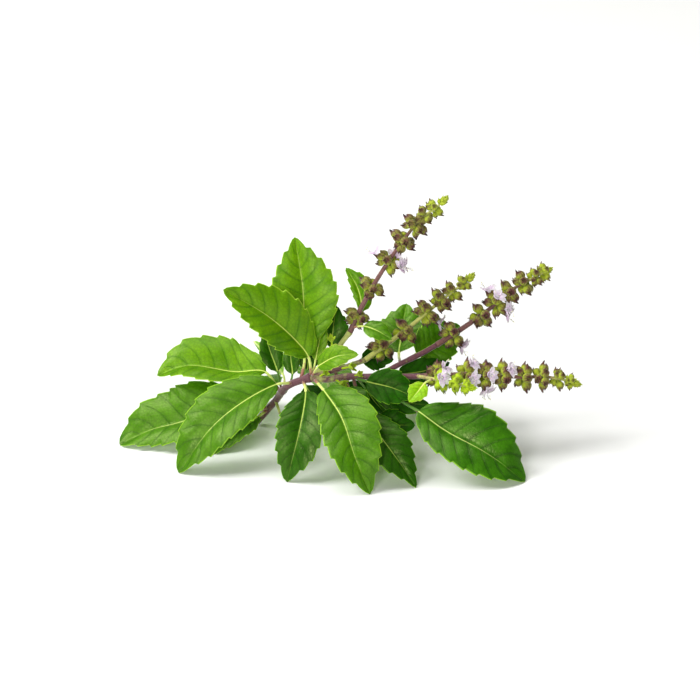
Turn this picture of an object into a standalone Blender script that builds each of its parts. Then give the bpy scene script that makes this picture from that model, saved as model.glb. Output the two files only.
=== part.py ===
"""Holy basil sprig: a cut, forking stem with toothed leaves and five flower spikes, laid down on a flat surface.

The sprig rests on the tips of its large leaves and on its cut end. +X points along the lower right spike,
+Z is up, and the origin is at the middle of the footprint, on the surface. Layout values are in millimetres.
"""

import math
import random

import bmesh
import bpy
from mathutils import Vector

MM = 0.001
CENTRE = Vector((-0.23, 4.95, 0.0))

BLADE_THICKNESS = 0.75
SMALL_BLADE_THICKNESS = 0.65
STALK_RADIUS = 0.58
SMALL_STALK_RADIUS = 0.45
TOOTH = 0.95
FOOT_DEPTH = 0.5
JOIN_GAP = 0.3

SPIKE_TIP_RADIUS = 0.4
CALYX_LENGTH = 4.1
PEDICEL_LENGTH = 1.7
COROLLA_RADIUS = 2.2

VIEW_SIDE = Vector((0.0, -1.0, 0.0))

# Each leaf: points along its stalk and midrib, from the stem to the tip, the number of the point where the
# blade begins, the direction that its upper face looks, and its half width. Fold is the rise of each half per
# millimetre from the midrib, halves scales the width of each half, and blunt fills out the tip.
LEAVES = {
    "leaf_top": dict(
        path=[(-18, 2, 28), (-16.5, 3, 33.5), (-16.5, 5, 40.5), (-17, 12, 58.5), (-20, 20, 76)],
        blade=2, face=(0.1, -0.9, 0.4), half=11.8, teeth=9, fold=(0.1, 0.34), wave=0.5, phase=0.4),
    "leaf_upper_left": dict(
        path=[(-15, -1, 31.5), (-15, 0, 37.5), (-19.5, 0, 44), (-29.5, -2, 54.5), (-45, -3, 65)],
        blade=1, face=(-0.1, -0.8, 0.6), half=10.4, teeth=9, fold=(0.4, 0.1), halves=(0.74, 1.05), blunt=0.35,
        wave=0.6, phase=1.2),
    "leaf_left": dict(
        path=[(-26.5, 8, 18), (-31, 11, 26.5), (-42.5, 12.5, 26), (-59.5, 13.5, 28), (-71, 13.5, 24)],
        blade=1, face=(0, -0.35, 0.93), half=11.5, teeth=8, fold=(0.3, 0.4), halves=(0.8, 1.04), blunt=0.35,
        wave=0.5, phase=2.0),
    "leaf_front_left": dict(
        path=[(-22.5, -1, 26.5), (-26.5, -3, 28), (-38, -8, 23.8), (-49.5, -13, 15.8), (-61.5, -19, 1)],
        blade=1, face=(-0.25, -0.7, 0.7), half=10.6, teeth=9, fold=(0.26, 0.1), halves=(0.9, 1.08), blunt=0.75,
        wave=0.6, phase=0.0, rest=True),
    "leaf_far_left": dict(
        path=[(-31, 15, 8), (-39.5, 8, 14.5), (-51, 5, 14.5), (-61, 4, 10), (-73, 5, 6), (-84.8, 4, 1)],
        blade=1, face=(0, -0.62, 0.78), half=11.5, teeth=9, fold=(0.2, 0.15), halves=(0.72, 1.14), blunt=1.0,
        wave=0.5, phase=0.9, rest=True),
    "leaf_under_left": dict(
        path=[(-31, 16, 8), (-34, 14, 7), (-40.5, 6, 5.5), (-49.5, -3.5, 1)],
        blade=1, face=(0, -0.15, 1), half=7.5, teeth=6, fold=(0.15, 0.15), halves=(0.65, 1.0),
        wave=0.4, phase=0.3, rest=True),
    "leaf_front_middle": dict(
        path=[(-17.5, -2, 27.5), (-16, -5, 26), (-18.5, -20, 15.5), (-22.5, -26, 1)],
        blade=1, face=(-0.1, -0.8, 0.6), half=8.5, teeth=8, fold=(0.3, 0.15), halves=(1.04, 0.92), blunt=0.6,
        wave=0.5, phase=1.5, rest=True),
    "leaf_front_main": dict(
        path=[(-13.5, -3, 29.5), (-9.5, -8, 28), (-3, -19, 22.5), (2, -31, 12), (7, -35.5, 1)],
        blade=1, face=(0.1, -0.8, 0.6), half=10.5, teeth=9, fold=(0.4, 0.12), halves=(1.05, 0.84), blunt=0.45,
        wave=0.7, phase=2.4, rest=True),
    "leaf_front_right": dict(
        path=[(-2, -4, 27), (4.5, -12, 21), (13.5, -22, 12.5), (23.5, -30.5, 1)],
        blade=1, face=(0.3, -0.7, 0.65), half=8.0, teeth=8, cup=0.15, wave=0.4, phase=0.5, rest=True),
    "leaf_big_right": dict(
        path=[(8, -5, 30), (16, -8, 25.5), (24.5, -12, 21.5), (34.5, -18, 16.5), (47.5, -23, 11), (62.5, -26, 1)],
        blade=2, face=(0.15, -0.7, 0.7), half=11.4, teeth=9, fold=(0.1, 0.22), halves=(1.27, 0.92), blunt=0.6,
        wave=0.6, phase=1.1, rest=True),
    "leaf_small_left": dict(
        path=[(-25, 8.5, 20), (-26.5, 8.5, 28), (-29, 11, 34.5), (-31.5, 13, 42)],
        blade=1, face=(0.2, -0.9, 0.4), half=4.2, teeth=5, small=True),
    "leaf_pale": dict(
        path=[(-23.5, 5.5, 23), (-24.5, 12, 25.5), (-30, 18, 30), (-35.5, 22, 34)],
        blade=1, face=(0.3, 0.9, 0.3), half=4.2, teeth=5, small=True),
    "leaf_small_middle": dict(
        path=[(-21.5, 4, 25.5), (-21, 6, 28), (-21.5, 8, 32.5), (-22, 10, 37.5)],
        blade=1, face=(-0.2, -0.9, 0.4), half=3.2, teeth=4, small=True),
    "leaf_young": dict(
        path=[(-13.5, -1.5, 31.5), (-11.5, -4, 35.5), (-4.5, -7, 41), (3, -8, 42)],
        blade=1, face=(-0.1, -0.7, 0.75), half=4.4, teeth=5, small=True),
    "leaf_behind_hub": dict(
        path=[(-11.5, 6, 29), (-7, 12, 36), (-6, 16, 43), (-5, 19, 49.5)],
        blade=1, face=(0.1, -0.9, 0.4), half=5.4, teeth=5, small=True),
    "leaf_behind_top_spike": dict(
        path=[(-2, 11, 37.5), (4, 17, 48), (3, 21, 55), (-1.5, 25, 62)],
        blade=1, face=(0, -0.9, 0.4), half=4.6, teeth=5, halves=(0.5, 1.1), small=True),
    "leaf_on_top_spike": dict(
        path=[(1.5, 8, 45.2), (5, 5.5, 47.2), (10, 2.2, 46.8), (15, 0, 44.3)],
        blade=1, face=(0.2, -0.7, 0.7), half=3.8, teeth=4, small=True),
    "leaf_narrow": dict(
        path=[(-14, 2, 30.5), (-12.5, 4, 34.5), (-11, 7, 41), (-9, 9, 47.5)],
        blade=1, face=(0, -0.9, 0.4), half=3.0, teeth=4, small=True),
    "leaf_back_dark_1": dict(
        path=[(17, 5, 31.5), (18, 19, 31), (19.5, 28, 37), (21, 34, 44)],
        blade=1, face=(-0.2, -0.9, 0.4), half=8.5, teeth=6, cup=0.1),
    "leaf_back_dark_2": dict(
        path=[(20, 6, 33), (24.5, 13, 33), (32, 18, 35.5), (40.5, 23, 40)],
        blade=1, face=(0.1, -0.8, 0.6), half=8.0, teeth=6, cup=0.1),
    "leaf_back_dark_3": dict(
        path=[(3, 6.5, 33), (4.5, 11, 31.5), (10, 13.5, 31), (16, 13, 30.5)],
        blade=1, face=(0, -0.9, 0.4), half=4.5, teeth=5, cup=0.1),
    "leaf_right_middle": dict(
        path=[(0.5, -4, 30.5), (6, -6, 30.5), (15, -8, 29), (23.5, -10, 26)],
        blade=1, face=(0, -0.75, 0.65), half=6.5, teeth=5, cup=0.1),
    "leaf_dark_low": dict(
        path=[(6, -3, 31), (9.5, -2.5, 25), (18, -3.5, 21.5), (29, -4, 20)],
        blade=1, face=(0, -0.8, 0.6), half=5.0, teeth=5, cup=0.1),
    "leaf_dark_under": dict(
        path=[(1, -2.5, 30.5), (3, -6, 25), (8.5, -9.5, 17), (16, -10.5, 15.5), (23.5, -10, 15)],
        blade=2, face=(0, -0.8, 0.6), half=5.5, teeth=5, cup=0.1),
    "leaf_shadow_left": dict(
        path=[(-16.5, 1.5, 27.8), (-16, 5, 23.5), (-13.5, 8, 18), (-10, 10, 13)],
        blade=1, face=(0, -0.9, 0.4), half=4.6, teeth=4, small=True),
    "leaf_shadow_middle": dict(
        path=[(-5, 1.5, 28.6), (-2, 3, 25), (3, 4, 20.5), (9, 5, 15)],
        blade=1, face=(0, -0.9, 0.4), half=5.4, teeth=5),
    "leaf_shadow_right": dict(
        path=[(9, 1.5, 31), (12, 4, 26), (17.5, 5.5, 20), (24, 7, 14)],
        blade=1, face=(0.1, -0.85, 0.5), half=6.0, teeth=5),
    "leaf_fill_right": dict(
        path=[(12, -1, 31.5), (17.5, 4.5, 28.6), (26.6, 7.5, 28.4), (36.5, 10.5, 30.5)],
        blade=1, face=(0, -0.9, 0.4), half=5.0, teeth=5),
    "leaf_fill_low": dict(
        path=[(2, -1.5, 30.7), (5.8, 0, 24.5), (9.1, 0.2, 19.4), (12.7, 0.4, 15)],
        blade=1, face=(0, -0.95, 0.3), half=4.2, teeth=4, small=True),
    "leaf_fill_hub": dict(
        path=[(-15, 4, 28), (-15.5, 7, 29.3), (-15.2, 9, 32.2), (-14, 10, 37)],
        blade=1, face=(0, -0.9, 0.4), half=4.2, teeth=4, small=True),
    "leaf_small_behind": dict(
        path=[(-4.5, -4, 30), (-1.5, -8, 28.5), (3.5, -13, 27), (7, -16, 23.5)],
        blade=1, face=(0.1, -0.7, 0.7), half=3.6, teeth=5, small=True),
    "leaf_lime": dict(
        path=[(28, -9, 33), (26.5, -12, 32.5), (24, -15, 30.5), (21, -17, 27.5)],
        blade=1, face=(-0.2, -0.8, 0.6), half=3.6, teeth=4, small=True),
    "leaf_back_left": dict(
        path=[(-26.5, 12, 15.5), (-29, 17, 18), (-36, 30, 14), (-42, 43, 1)],
        blade=1, face=(-0.2, 0.6, 0.75), half=9.5, teeth=7, cup=0.12, wave=0.5, phase=0.7, rest=True),
    "leaf_back_middle": dict(
        path=[(-13, 2, 30), (-12, 10, 28), (-10, 28, 19), (-7, 46, 1)],
        blade=1, face=(0, 0.6, 0.8), half=10.0, teeth=7, cup=0.12, wave=0.6, phase=1.9, rest=True),
    "leaf_back_right": dict(
        path=[(6, -1, 31), (8, 7, 25.5), (17, 24, 16), (26, 42, 1)],
        blade=1, face=(0.1, 0.6, 0.8), half=10.0, teeth=7, cup=0.12, wave=0.6, phase=2.6, rest=True),
}

# Each run of stem: points along its axis and its radius at both ends.
STEM_RUNS = [
    ([(-34.5, 21.5, 1.6), (-27.5, 14, 13.5), (-22, 3, 25), (-14, 0, 29.5)], 1.35, 1.35),
    ([(-15, 0, 29), (-9, 4, 31.5), (-3, 8, 39.5), (0, 8.5, 43.5)], 1.05, 0.95),
    ([(-15, 0, 29), (-8, 2, 30.5), (-2, 4, 31.5), (5.5, 6, 33.5)], 1.0, 0.9),
    ([(-15, 0, 29), (-8, -1, 29), (-2, -2, 30.5), (9.5, -3, 31), (26.5, -1.5, 30.5)], 1.15, 0.95),
    ([(10, -2.5, 31), (18.5, 3, 33.5), (26.5, 8, 35.5), (31.5, 10.5, 37.5)], 1.0, 0.95),
    ([(-27.5, 13, 14), (-26.5, 11, 12), (-25.5, 9.5, 9)], 0.6, 0.5),
]

# Each spike: its start on the branch, then one point for each whorl, then its tip. Every whorl has a calyx
# size and a count. Flowers are given as whorl number and angle round the axis.
SPIKES = {
    "spike_top": dict(
        path=[(0.0, 8.5, 43.5), (2.5, 10, 49), (8, 12, 59.5), (14, 13, 69.5), (19, 13.5, 77), (23, 14, 82.5),
              (26.5, 14, 86.5), (30, 14, 89), (34.5, 14, 93.5)],
        sizes=[0.95, 1.0, 1.05, 1.05, 1.0, 0.85, 0.75], counts=[6, 6, 6, 6, 6, 4, 4],
        flowers=[(2, 10), (2, 150), (2, 190), (2, 230)], radius=0.9, seed=11),
    "spike_middle": dict(
        path=[(5.5, 6, 33.5), (12, 9, 37.5), (20, 12, 42.5), (28, 15, 48.5), (33, 17, 52), (37, 18.5, 55),
              (41, 20, 57.5), (45, 22, 60.5)],
        sizes=[1.05, 1.05, 1.05, 0.95, 0.85, 0.75], counts=[6, 6, 6, 6, 4, 4],
        flowers=[(2, 150)], radius=0.85, seed=23),
    "spike_upper_right": dict(
        path=[(31.5, 10.5, 37.5), (37.5, 13, 40.5), (48, 17, 46.5), (53.5, 19, 50.5), (58, 21, 54),
              (63, 22, 57), (67.5, 23, 59), (70.5, 24, 60.5), (73.5, 25, 61.5)],
        sizes=[1.05, 1.05, 1.05, 1.0, 0.95, 0.8, 0.7], counts=[6, 6, 6, 6, 6, 4, 4],
        flowers=[(0, 160), (2, 20), (2, 60), (2, 130), (2, 185)], radius=0.92, seed=37),
    "spike_lower_right": dict(
        path=[(26.5, -1.5, 30.5), (31.5, -1, 30.5), (42.5, 0, 30.5), (49, 0.5, 30), (55, 1, 29.5), (63, 2, 28.5),
              (69.5, 2.5, 28.5), (75.5, 3, 27.5), (79.5, 3, 26.5), (83.5, 3, 25)],
        sizes=[1.05, 1.05, 1.05, 1.05, 1.0, 0.95, 0.8, 0.65], counts=[6, 6, 6, 6, 6, 6, 4, 4],
        flowers=[(1, 30), (1, 60), (2, 90), (2, 150), (2, 185), (3, 10)], radius=0.88, seed=43),
    "spike_young": dict(
        path=[(24, -1.7, 30.7), (32, -9, 32.5), (37, -11, 32.5), (41, -12, 31.5), (44.5, -12, 30.5)],
        sizes=[0.85, 0.8, 0.6], counts=[6, 6, 4],
        flowers=[(0, 10), (0, 60)], radius=0.55, seed=57),
}

GREEN = (0.105, 0.32, 0.02)
DARK_GREEN = (0.05, 0.19, 0.012)
YOUNG_GREEN = (0.22, 0.46, 0.035)
PURPLE_STEM = (0.24, 0.13, 0.12)
CALYX_GREEN = (0.3, 0.36, 0.06)
LIME_GREEN = (0.42, 0.55, 0.05)


def clear_scene():
    for found in list(bpy.data.objects):
        bpy.data.objects.remove(found, do_unlink=True)


def finish(name, rgb, roughness):
    made = bpy.data.materials.get(name)
    if made is None:
        made = bpy.data.materials.new(name)
        made.use_nodes = True
        shader = made.node_tree.nodes["Principled BSDF"]
        shader.inputs["Base Color"].default_value = (*rgb, 1.0)
        shader.inputs["Roughness"].default_value = roughness
        shader.inputs["Metallic"].default_value = 0.0
    return made


def make_object(name, points, faces, material):
    mesh = bpy.data.meshes.new(name)
    mesh.from_pydata([(Vector(p) - CENTRE) * MM for p in points], [], faces)
    mesh.materials.append(material)
    cleaner = bmesh.new()
    cleaner.from_mesh(mesh)
    bmesh.ops.recalc_face_normals(cleaner, faces=cleaner.faces)
    cleaner.to_mesh(mesh)
    cleaner.free()
    made = bpy.data.objects.new(name, mesh)
    bpy.context.scene.collection.objects.link(made)
    return made


def smooth_path(points, per_span=24):
    """A smooth curve through the points, as a dense row of points, and the index of each given point in it."""
    given = [Vector(p) for p in points]
    ends = [given[0] * 2 - given[1], *given, given[-1] * 2 - given[-2]]
    dense = []
    marks = []
    for i in range(1, len(ends) - 2):
        a, b, c, d = ends[i - 1:i + 3]
        ta = 0.0
        tb = ta + math.sqrt((b - a).length)
        tc = tb + math.sqrt((c - b).length)
        td = tc + math.sqrt((d - c).length)
        marks.append(len(dense))
        for k in range(per_span):
            t = tb + (tc - tb) * k / per_span
            ab = a.lerp(b, (t - ta) / (tb - ta))
            bc = b.lerp(c, (t - tb) / (tc - tb))
            cd = c.lerp(d, (t - tc) / (td - tc))
            abc = ab.lerp(bc, (t - ta) / (tc - ta))
            bcd = bc.lerp(cd, (t - tb) / (td - tb))
            dense.append(abc.lerp(bcd, (t - tb) / (tc - tb)))
    marks.append(len(dense))
    dense.append(given[-1].copy())
    return dense, marks


class Route:
    """A curve that is read by the distance along it."""

    def __init__(self, points):
        self.dense, self.marks = smooth_path(points)
        self.reach = [0.0]
        for before, after in zip(self.dense, self.dense[1:]):
            self.reach.append(self.reach[-1] + (after - before).length)
        self.length = self.reach[-1]

    def mark(self, number):
        return self.reach[self.marks[number]]

    def at(self, distance):
        distance = min(max(distance, 0.0), self.length)
        k = 1
        while k < len(self.reach) - 1 and self.reach[k] < distance:
            k += 1
        share = (distance - self.reach[k - 1]) / max(self.reach[k] - self.reach[k - 1], 1e-9)
        return self.dense[k - 1].lerp(self.dense[k], share)

    def heading(self, distance):
        return (self.at(distance + 0.4) - self.at(distance - 0.4)).normalized()


def axis_samples(left_out=""):
    """Points along every stem run and spike axis, with the direction and the radius there."""
    samples = []
    runs = list(STEM_RUNS)
    runs += [(spike["path"], spike["radius"], SPIKE_TIP_RADIUS) for name, spike in SPIKES.items() if name != left_out]
    for points, first, last in runs:
        route = Route(points)
        count = int(route.length / 0.5)
        for k in range(count + 1):
            share = k / count
            distance = route.length * share
            samples.append((route.at(distance), route.heading(distance), first + (last - first) * share))
    return samples


def seat(point, samples):
    """The point of the nearest axis."""
    return min(samples, key=lambda sample: (sample[0] - Vector(point)).length)[0]


def stalk_start(route, stalk, samples):
    """How far along its route a stalk begins, so that it just clears the stem that carries it."""
    near = [sample for sample in samples if (sample[0] - route.at(0.0)).length < 7.0]
    distance = 0.2
    while distance < 6.0:
        place, heading = route.at(distance), route.heading(distance)
        room = [(place - point).length - radius - stalk * abs(heading.dot(way)) for point, way, radius in near]
        if min(room) >= JOIN_GAP + 0.02:
            break
        distance += 0.05
    return distance


def blade_outline(t, blunt=0.0):
    """Half width of the blade, from 0 at its base over 1 near its middle to 0 at its tip."""
    t = min(max(t, 0.0), 1.0)
    return max(math.sin(math.pi * t ** (0.83 + 0.12 * blunt)), 0.0) ** (0.62 + 0.5 * t * (1 - blunt))


def leaf_frame(route, distance, face):
    heading = route.heading(distance)
    right = heading.cross(Vector(face)).normalized()
    normal = right.cross(heading).normalized()
    return route.at(distance), right, normal


def make_leaf(name, samples, path, blade, face, half, teeth, cup=0.1, fold=None, halves=(1.0, 1.0), blunt=0.0,
              wave=0.3, phase=0.0, rest=False, small=False, material=None):
    """A stalk that flows into a toothed blade, as one closed loft with five points across each face."""
    route = Route([seat(path[0], samples), *path[1:]])
    thickness = SMALL_BLADE_THICKNESS if small else BLADE_THICKNESS
    stalk = SMALL_STALK_RADIUS if small else STALK_RADIUS
    base = route.mark(blade)
    span = route.length - base
    points = []
    faces = []

    def across(t, extra=0.0):
        place, right, normal = leaf_frame(route, base + span * t, face)
        if rest:
            lying = min(max((t - 0.8) / 0.13, 0.0), 1.0)
            place.z += (BLADE_THICKNESS - place.z) * lying * lying * (3 - 2 * lying)
            normal = normal.lerp(Vector((0, 0, 1)), lying).normalized()
            right = (right - normal * right.dot(normal)).normalized()
        full = 0.5 + (half - 0.5) * blade_outline(t, blunt)
        upper = []
        for u in (-1.0, -0.5, 0.0, 0.5, 1.0):
            width = full * halves[int(u > 0)]
            lift = fold[int(u > 0)] if fold else cup
            reach = u * width + (math.copysign(extra, u) if abs(u) == 1.0 else 0.0)
            ripple = wave * math.sin(math.tau * 2.3 * t + phase + (1.3 if u > 0 else 0.0)) * u * u
            rise = lift * abs(reach) + 0.16 * width * (0.5 - abs(abs(u) - 0.5)) + ripple * min(1.0, 4 * t * (1 - t))
            upper.append(place + right * reach + normal * rise)
        lower = []
        for k, point in enumerate(upper):
            rib = 0.35 if k == 2 and t < 0.9 else 0.0
            lower.append(point - normal * (thickness + rib))
        for k in range(5):
            upper[k].z = max(upper[k].z, 0.7)
            if lower[k].z < FOOT_DEPTH:
                lower[k].z = 0.0
        return upper, lower

    # Stalk rings, each with ten points that run on into the blade's edge, mid, rib, mid and edge.
    start = stalk_start(route, stalk, samples)
    turns = [170, 130, 90, 50, 10, -10, -50, -90, -130, -170]
    stalk_rings = []
    steps = 3 if base - start > 5 else 2
    for i in range(steps):
        distance = start + (base - start) * i / steps
        place, right, normal = leaf_frame(route, distance, face)
        ring = []
        for turn in turns:
            angle = math.radians(turn)
            offset = right * (stalk * math.cos(angle)) + normal * (stalk * math.sin(angle) - 0.3)
            ring.append(len(points))
            points.append(place + offset)
        stalk_rings.append(ring)

    rows = []
    edge_tips = []
    stations = [i / teeth for i in range(teeth)] + ([0.935, 1.0] if rest else [1.0])
    for i, station in enumerate(stations):
        upper, lower = across(station)
        row = []
        for point in upper + lower[::-1]:
            row.append(len(points))
            points.append(point)
        rows.append(row)
        if station < 1.0:
            t = station + (stations[i + 1] - station) * 0.72
            size = TOOTH * min(1.0, half / 9) * (0.35 if i == 0 else 1.0) * (0.4 if t > 0.93 else 1.0)
            upper, lower = across(t, size)
            tips = {}
            for key, point in (("lu", upper[0]), ("ll", lower[0]), ("ru", upper[4]), ("rl", lower[4])):
                tips[key] = len(points)
                points.append(point)
            edge_tips.append(tips)

    rings = stalk_rings + [rows[0]]
    for near, far in zip(rings, rings[1:]):
        for k in range(10):
            n = (k + 1) % 10
            faces.append((near[k], near[n], far[n]))
            faces.append((near[k], far[n], far[k]))
    first = rings[0]
    faces += [(first[0], first[k + 1], first[k]) for k in range(1, 9)]

    for i in range(len(rows) - 1):
        a, b, tip = rows[i], rows[i + 1], edge_tips[i]
        # Upper face: left edge, left mid, rib, right mid, right edge are entries 0 to 4.
        faces += [(a[1], a[0], tip["lu"]), (a[1], tip["lu"], b[1]), (b[1], tip["lu"], b[0])]
        faces += [(a[2], a[1], b[1]), (a[2], b[1], b[2]), (a[3], a[2], b[3]), (a[2], b[2], b[3])]
        faces += [(a[4], a[3], tip["ru"]), (tip["ru"], a[3], b[3]), (tip["ru"], b[3], b[4])]
        # Lower face: entries 5 to 9 run back from the right edge to the left edge.
        faces += [(a[8], tip["ll"], a[9]), (a[8], b[8], tip["ll"]), (b[8], b[9], tip["ll"])]
        faces += [(a[7], b[8], a[8]), (a[7], b[7], b[8]), (a[6], b[6], a[7]), (a[7], b[6], b[7])]
        faces += [(a[5], tip["rl"], a[6]), (tip["rl"], b[6], a[6]), (tip["rl"], b[5], b[6])]
        # Rims along both edges.
        faces += [(a[0], a[9], tip["ll"]), (a[0], tip["ll"], tip["lu"])]
        faces += [(tip["lu"], tip["ll"], b[9]), (tip["lu"], b[9], b[0])]
        faces += [(a[4], tip["rl"], a[5]), (a[4], tip["ru"], tip["rl"])]
        faces += [(tip["ru"], b[5], tip["rl"]), (tip["ru"], b[4], b[5])]
    last = rows[-1]
    faces += [(last[0], last[1], last[9]), (last[1], last[8], last[9]), (last[1], last[2], last[8])]
    faces += [(last[2], last[7], last[8]), (last[2], last[3], last[7]), (last[3], last[6], last[7])]
    faces += [(last[3], last[4], last[6]), (last[4], last[5], last[6])]
    return make_object(name, points, faces, material)


def tube_mesh(points, first_radius, last_radius, sides=8, rings=7, start=0.0, stop=0.0, square=0.0):
    """A tube along a smooth route; a little square in section when asked, as mint stems are."""
    route = Route(points)
    made = []
    faces = []
    side = None
    for i in range(rings):
        share = i / (rings - 1)
        distance = start + (route.length - start - stop) * share
        heading = route.heading(distance)
        if side is None:
            side = heading.cross(Vector((0.3, 0.2, 1.0))).normalized()
        side = (side - heading * side.dot(heading)).normalized()
        other = heading.cross(side)
        radius = first_radius + (last_radius - first_radius) * share
        for k in range(sides):
            angle = math.tau * k / sides
            scale = radius * (1.0 + square * math.cos(4 * angle))
            made.append(route.at(distance) + (side * math.cos(angle) + other * math.sin(angle)) * scale)
    for i in range(rings - 1):
        for k in range(sides):
            n = (k + 1) % sides
            faces.append((i * sides + k, i * sides + n, (i + 1) * sides + n, (i + 1) * sides + k))
    faces.append(tuple(reversed(range(sides))))
    faces.append(tuple((rings - 1) * sides + k for k in range(sides)))
    return made, faces


def join_all(base, parts):
    """One Boolean union of the base with every part, applied."""
    operands = bpy.data.collections.new(base.name + "_operands")
    for part in parts:
        for holder in list(part.users_collection):
            holder.objects.unlink(part)
        operands.objects.link(part)
    union = base.modifiers.new("union", "BOOLEAN")
    union.operation = "UNION"
    union.operand_type = "COLLECTION"
    union.collection = operands
    union.solver = "EXACT"
    reader = bpy.context.evaluated_depsgraph_get()
    joined = bpy.data.meshes.new_from_object(base.evaluated_get(reader))
    base.modifiers.clear()
    base.data = joined
    for part in parts:
        bpy.data.objects.remove(part, do_unlink=True)
    bpy.data.collections.remove(operands)
    return base


def make_stem():
    bark = finish("hairy stem", PURPLE_STEM, 0.6)
    parts = []
    for number, (points, first, last) in enumerate(STEM_RUNS):
        rings = 4 if number == 5 else 7
        shape = tube_mesh(points, first, last, sides=8, rings=rings, square=0.07)
        parts.append(make_object("stem" if number == 0 else "stem_run_%d" % number, *shape, bark))
    return join_all(parts[0], parts[1:])


def three_ways(out, lip):
    """Three directions round an outward one: to the upper lip, and to both sides of the lower lip."""
    side = out.cross(lip).normalized()
    return lip, lip * -0.5 + side * 0.866, lip * -0.5 - side * 0.866


def calyx_mesh(root, out, lip, length, pedicel):
    """A cup on a short stalk, with a broad upper lip and a forked lower lip."""
    ways = three_ways(out, lip)
    start = root - out * 0.35
    cup = root + out * pedicel
    points = [start + way * 0.32 for way in ways]
    points += [cup + out * (length * 0.35) + way * (length * 0.34) for way in ways]
    for way, height, reach in zip(ways, (1.06, 0.94, 0.94), (0.56, 0.46, 0.46)):
        points.append(cup + out * (length * height) + way * (length * reach))
    points.append(cup + out * (length * 0.5))
    faces = [(0, 1, 2)]
    for k in range(3):
        n = (k + 1) % 3
        faces.append((k, n, 3 + n, 3 + k))
        faces.append((3 + k, 3 + n, 6 + n, 6 + k))
        faces.append((6 + k, 6 + n, 9))
    return points, faces


def bud_mesh(root, out, lip, length, pedicel):
    """A small closed bud."""
    length += pedicel
    middle = root + out * (length * 0.5)
    points = [root - out * 0.2, *(middle + way * (length * 0.4) for way in three_ways(out, lip)), root + out * length]
    faces = [(0, 1 + (k + 1) % 3, 1 + k) for k in range(3)]
    faces += [(4, 1 + k, 1 + (k + 1) % 3) for k in range(3)]
    return points, faces


def flower_mesh(root, out, lip, length, pedicel):
    """A calyx filled by the tube of an open flower, which flares into lobes."""
    side = out.cross(lip).normalized()
    ways = [lip * math.cos(math.tau * k / 5) + side * math.sin(math.tau * k / 5) for k in range(5)]
    neck = pedicel + length * 0.95
    points = []
    for reach, radius in ((-0.35, 0.3), (pedicel + length * 0.4, 1.2), (neck, 0.8), (neck + 0.9, COROLLA_RADIUS)):
        points += [root + out * reach + way * radius for way in ways]
    points.append(root + out * (neck + 0.6))
    faces = [(0, 1, 2, 3, 4)]
    for k in range(5):
        n = (k + 1) % 5
        for ring in (0, 5, 10):
            faces.append((ring + k, ring + n, ring + 5 + n, ring + 5 + k))
        faces.append((15 + k, 15 + n, 20))
    return points, faces


def whorl_frame(route, distance):
    heading = route.heading(distance)
    front = (VIEW_SIDE - heading * VIEW_SIDE.dot(heading)).normalized()
    return route.at(distance), heading, front.cross(heading), front


def whorl_slots(rng, route, number, size, count, flowers, age):
    """The calyces of one whorl: two opposite groups, turned a quarter from one whorl to the next. Age is 0 at
    the foot of a spike and 1 at its tip, where the calyces close up towards the axis."""
    place, heading, first, front = whorl_frame(route, route.mark(number + 1))
    turn = 90.0 * (number % 2) + rng.uniform(-12, 12)
    spread = (-57, 0, 57) if count == 6 else (-42, 42)
    slots = []
    for half_turn in (0, 180):
        for step in spread:
            angle = turn + half_turn + step + rng.uniform(-5, 5)
            lean = math.radians((2 if step == 0 else 12) + 22 * age * age + rng.uniform(-5, 5))
            radial = first * math.cos(math.radians(angle)) + front * math.sin(math.radians(angle))
            out = (radial * math.cos(lean) + heading * math.sin(lean)).normalized()
            slots.append(dict(
                angle=angle, root=place + heading * (0.5 if step == 0 else -0.3), out=out,
                lip=(heading - out * heading.dot(out)).normalized(),
                length=CALYX_LENGTH * size * rng.uniform(0.9, 1.06), pedicel=PEDICEL_LENGTH * size,
                kind="calyx" if size > 0.8 else "bud"))
    for whorl, wanted in flowers:
        if whorl == number:
            free = [slot for slot in slots if slot["kind"] != "flower"]
            nearest = min(free, key=lambda slot: 1 - math.cos(math.radians(slot["angle"] - wanted)))
            nearest["kind"] = "flower"
    return slots


def tip_buds(route):
    """Two rings of closing buds at the tip of a spike."""
    slots = []
    for back, size, reach in ((2.6, 0.55, 0.9), (1.2, 0.45, 1.6)):
        place, heading, first, front = whorl_frame(route, route.length - back)
        for k in range(3):
            angle = math.radians(120 * k + 60 * (back < 2) + 17)
            radial = first * math.cos(angle) + front * math.sin(angle)
            out = (radial + heading * (reach + 0.2 * k)).normalized()
            slots.append(dict(
                root=place + radial * 0.15 + heading * (0.3 * k), out=out,
                lip=(heading - out * heading.dot(out)).normalized(), length=CALYX_LENGTH * size, pedicel=0.0,
                kind="bud"))
    return slots


def make_spike(name, samples, path, sizes, counts, flowers, radius, seed):
    young = name == "spike_young"
    skin = finish("young spike", LIME_GREEN, 0.55) if young else finish("flower spike", CALYX_GREEN, 0.6)
    rng = random.Random(seed)
    route = Route(path)
    start = stalk_start(route, radius, samples) if young else JOIN_GAP
    axis = tube_mesh(path, radius, SPIKE_TIP_RADIUS, sides=6, rings=len(path), start=start, stop=0.6)
    base = make_object(name, *axis, skin)
    slots = []
    for number, (size, count) in enumerate(zip(sizes, counts)):
        slots += whorl_slots(rng, route, number, size, count, flowers, 1.0 if young else number / len(sizes))
    slots += tip_buds(route)
    makers = {"calyx": calyx_mesh, "flower": flower_mesh, "bud": bud_mesh}
    shapes = []
    for slot in slots:
        shapes.append(makers[slot["kind"]](slot["root"], slot["out"], slot["lip"], slot["length"], slot["pedicel"]))
    parts = [make_object("%s_%d" % (name, k), *shape, skin) for k, shape in enumerate(shapes)]
    return join_all(base, parts)


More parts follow.
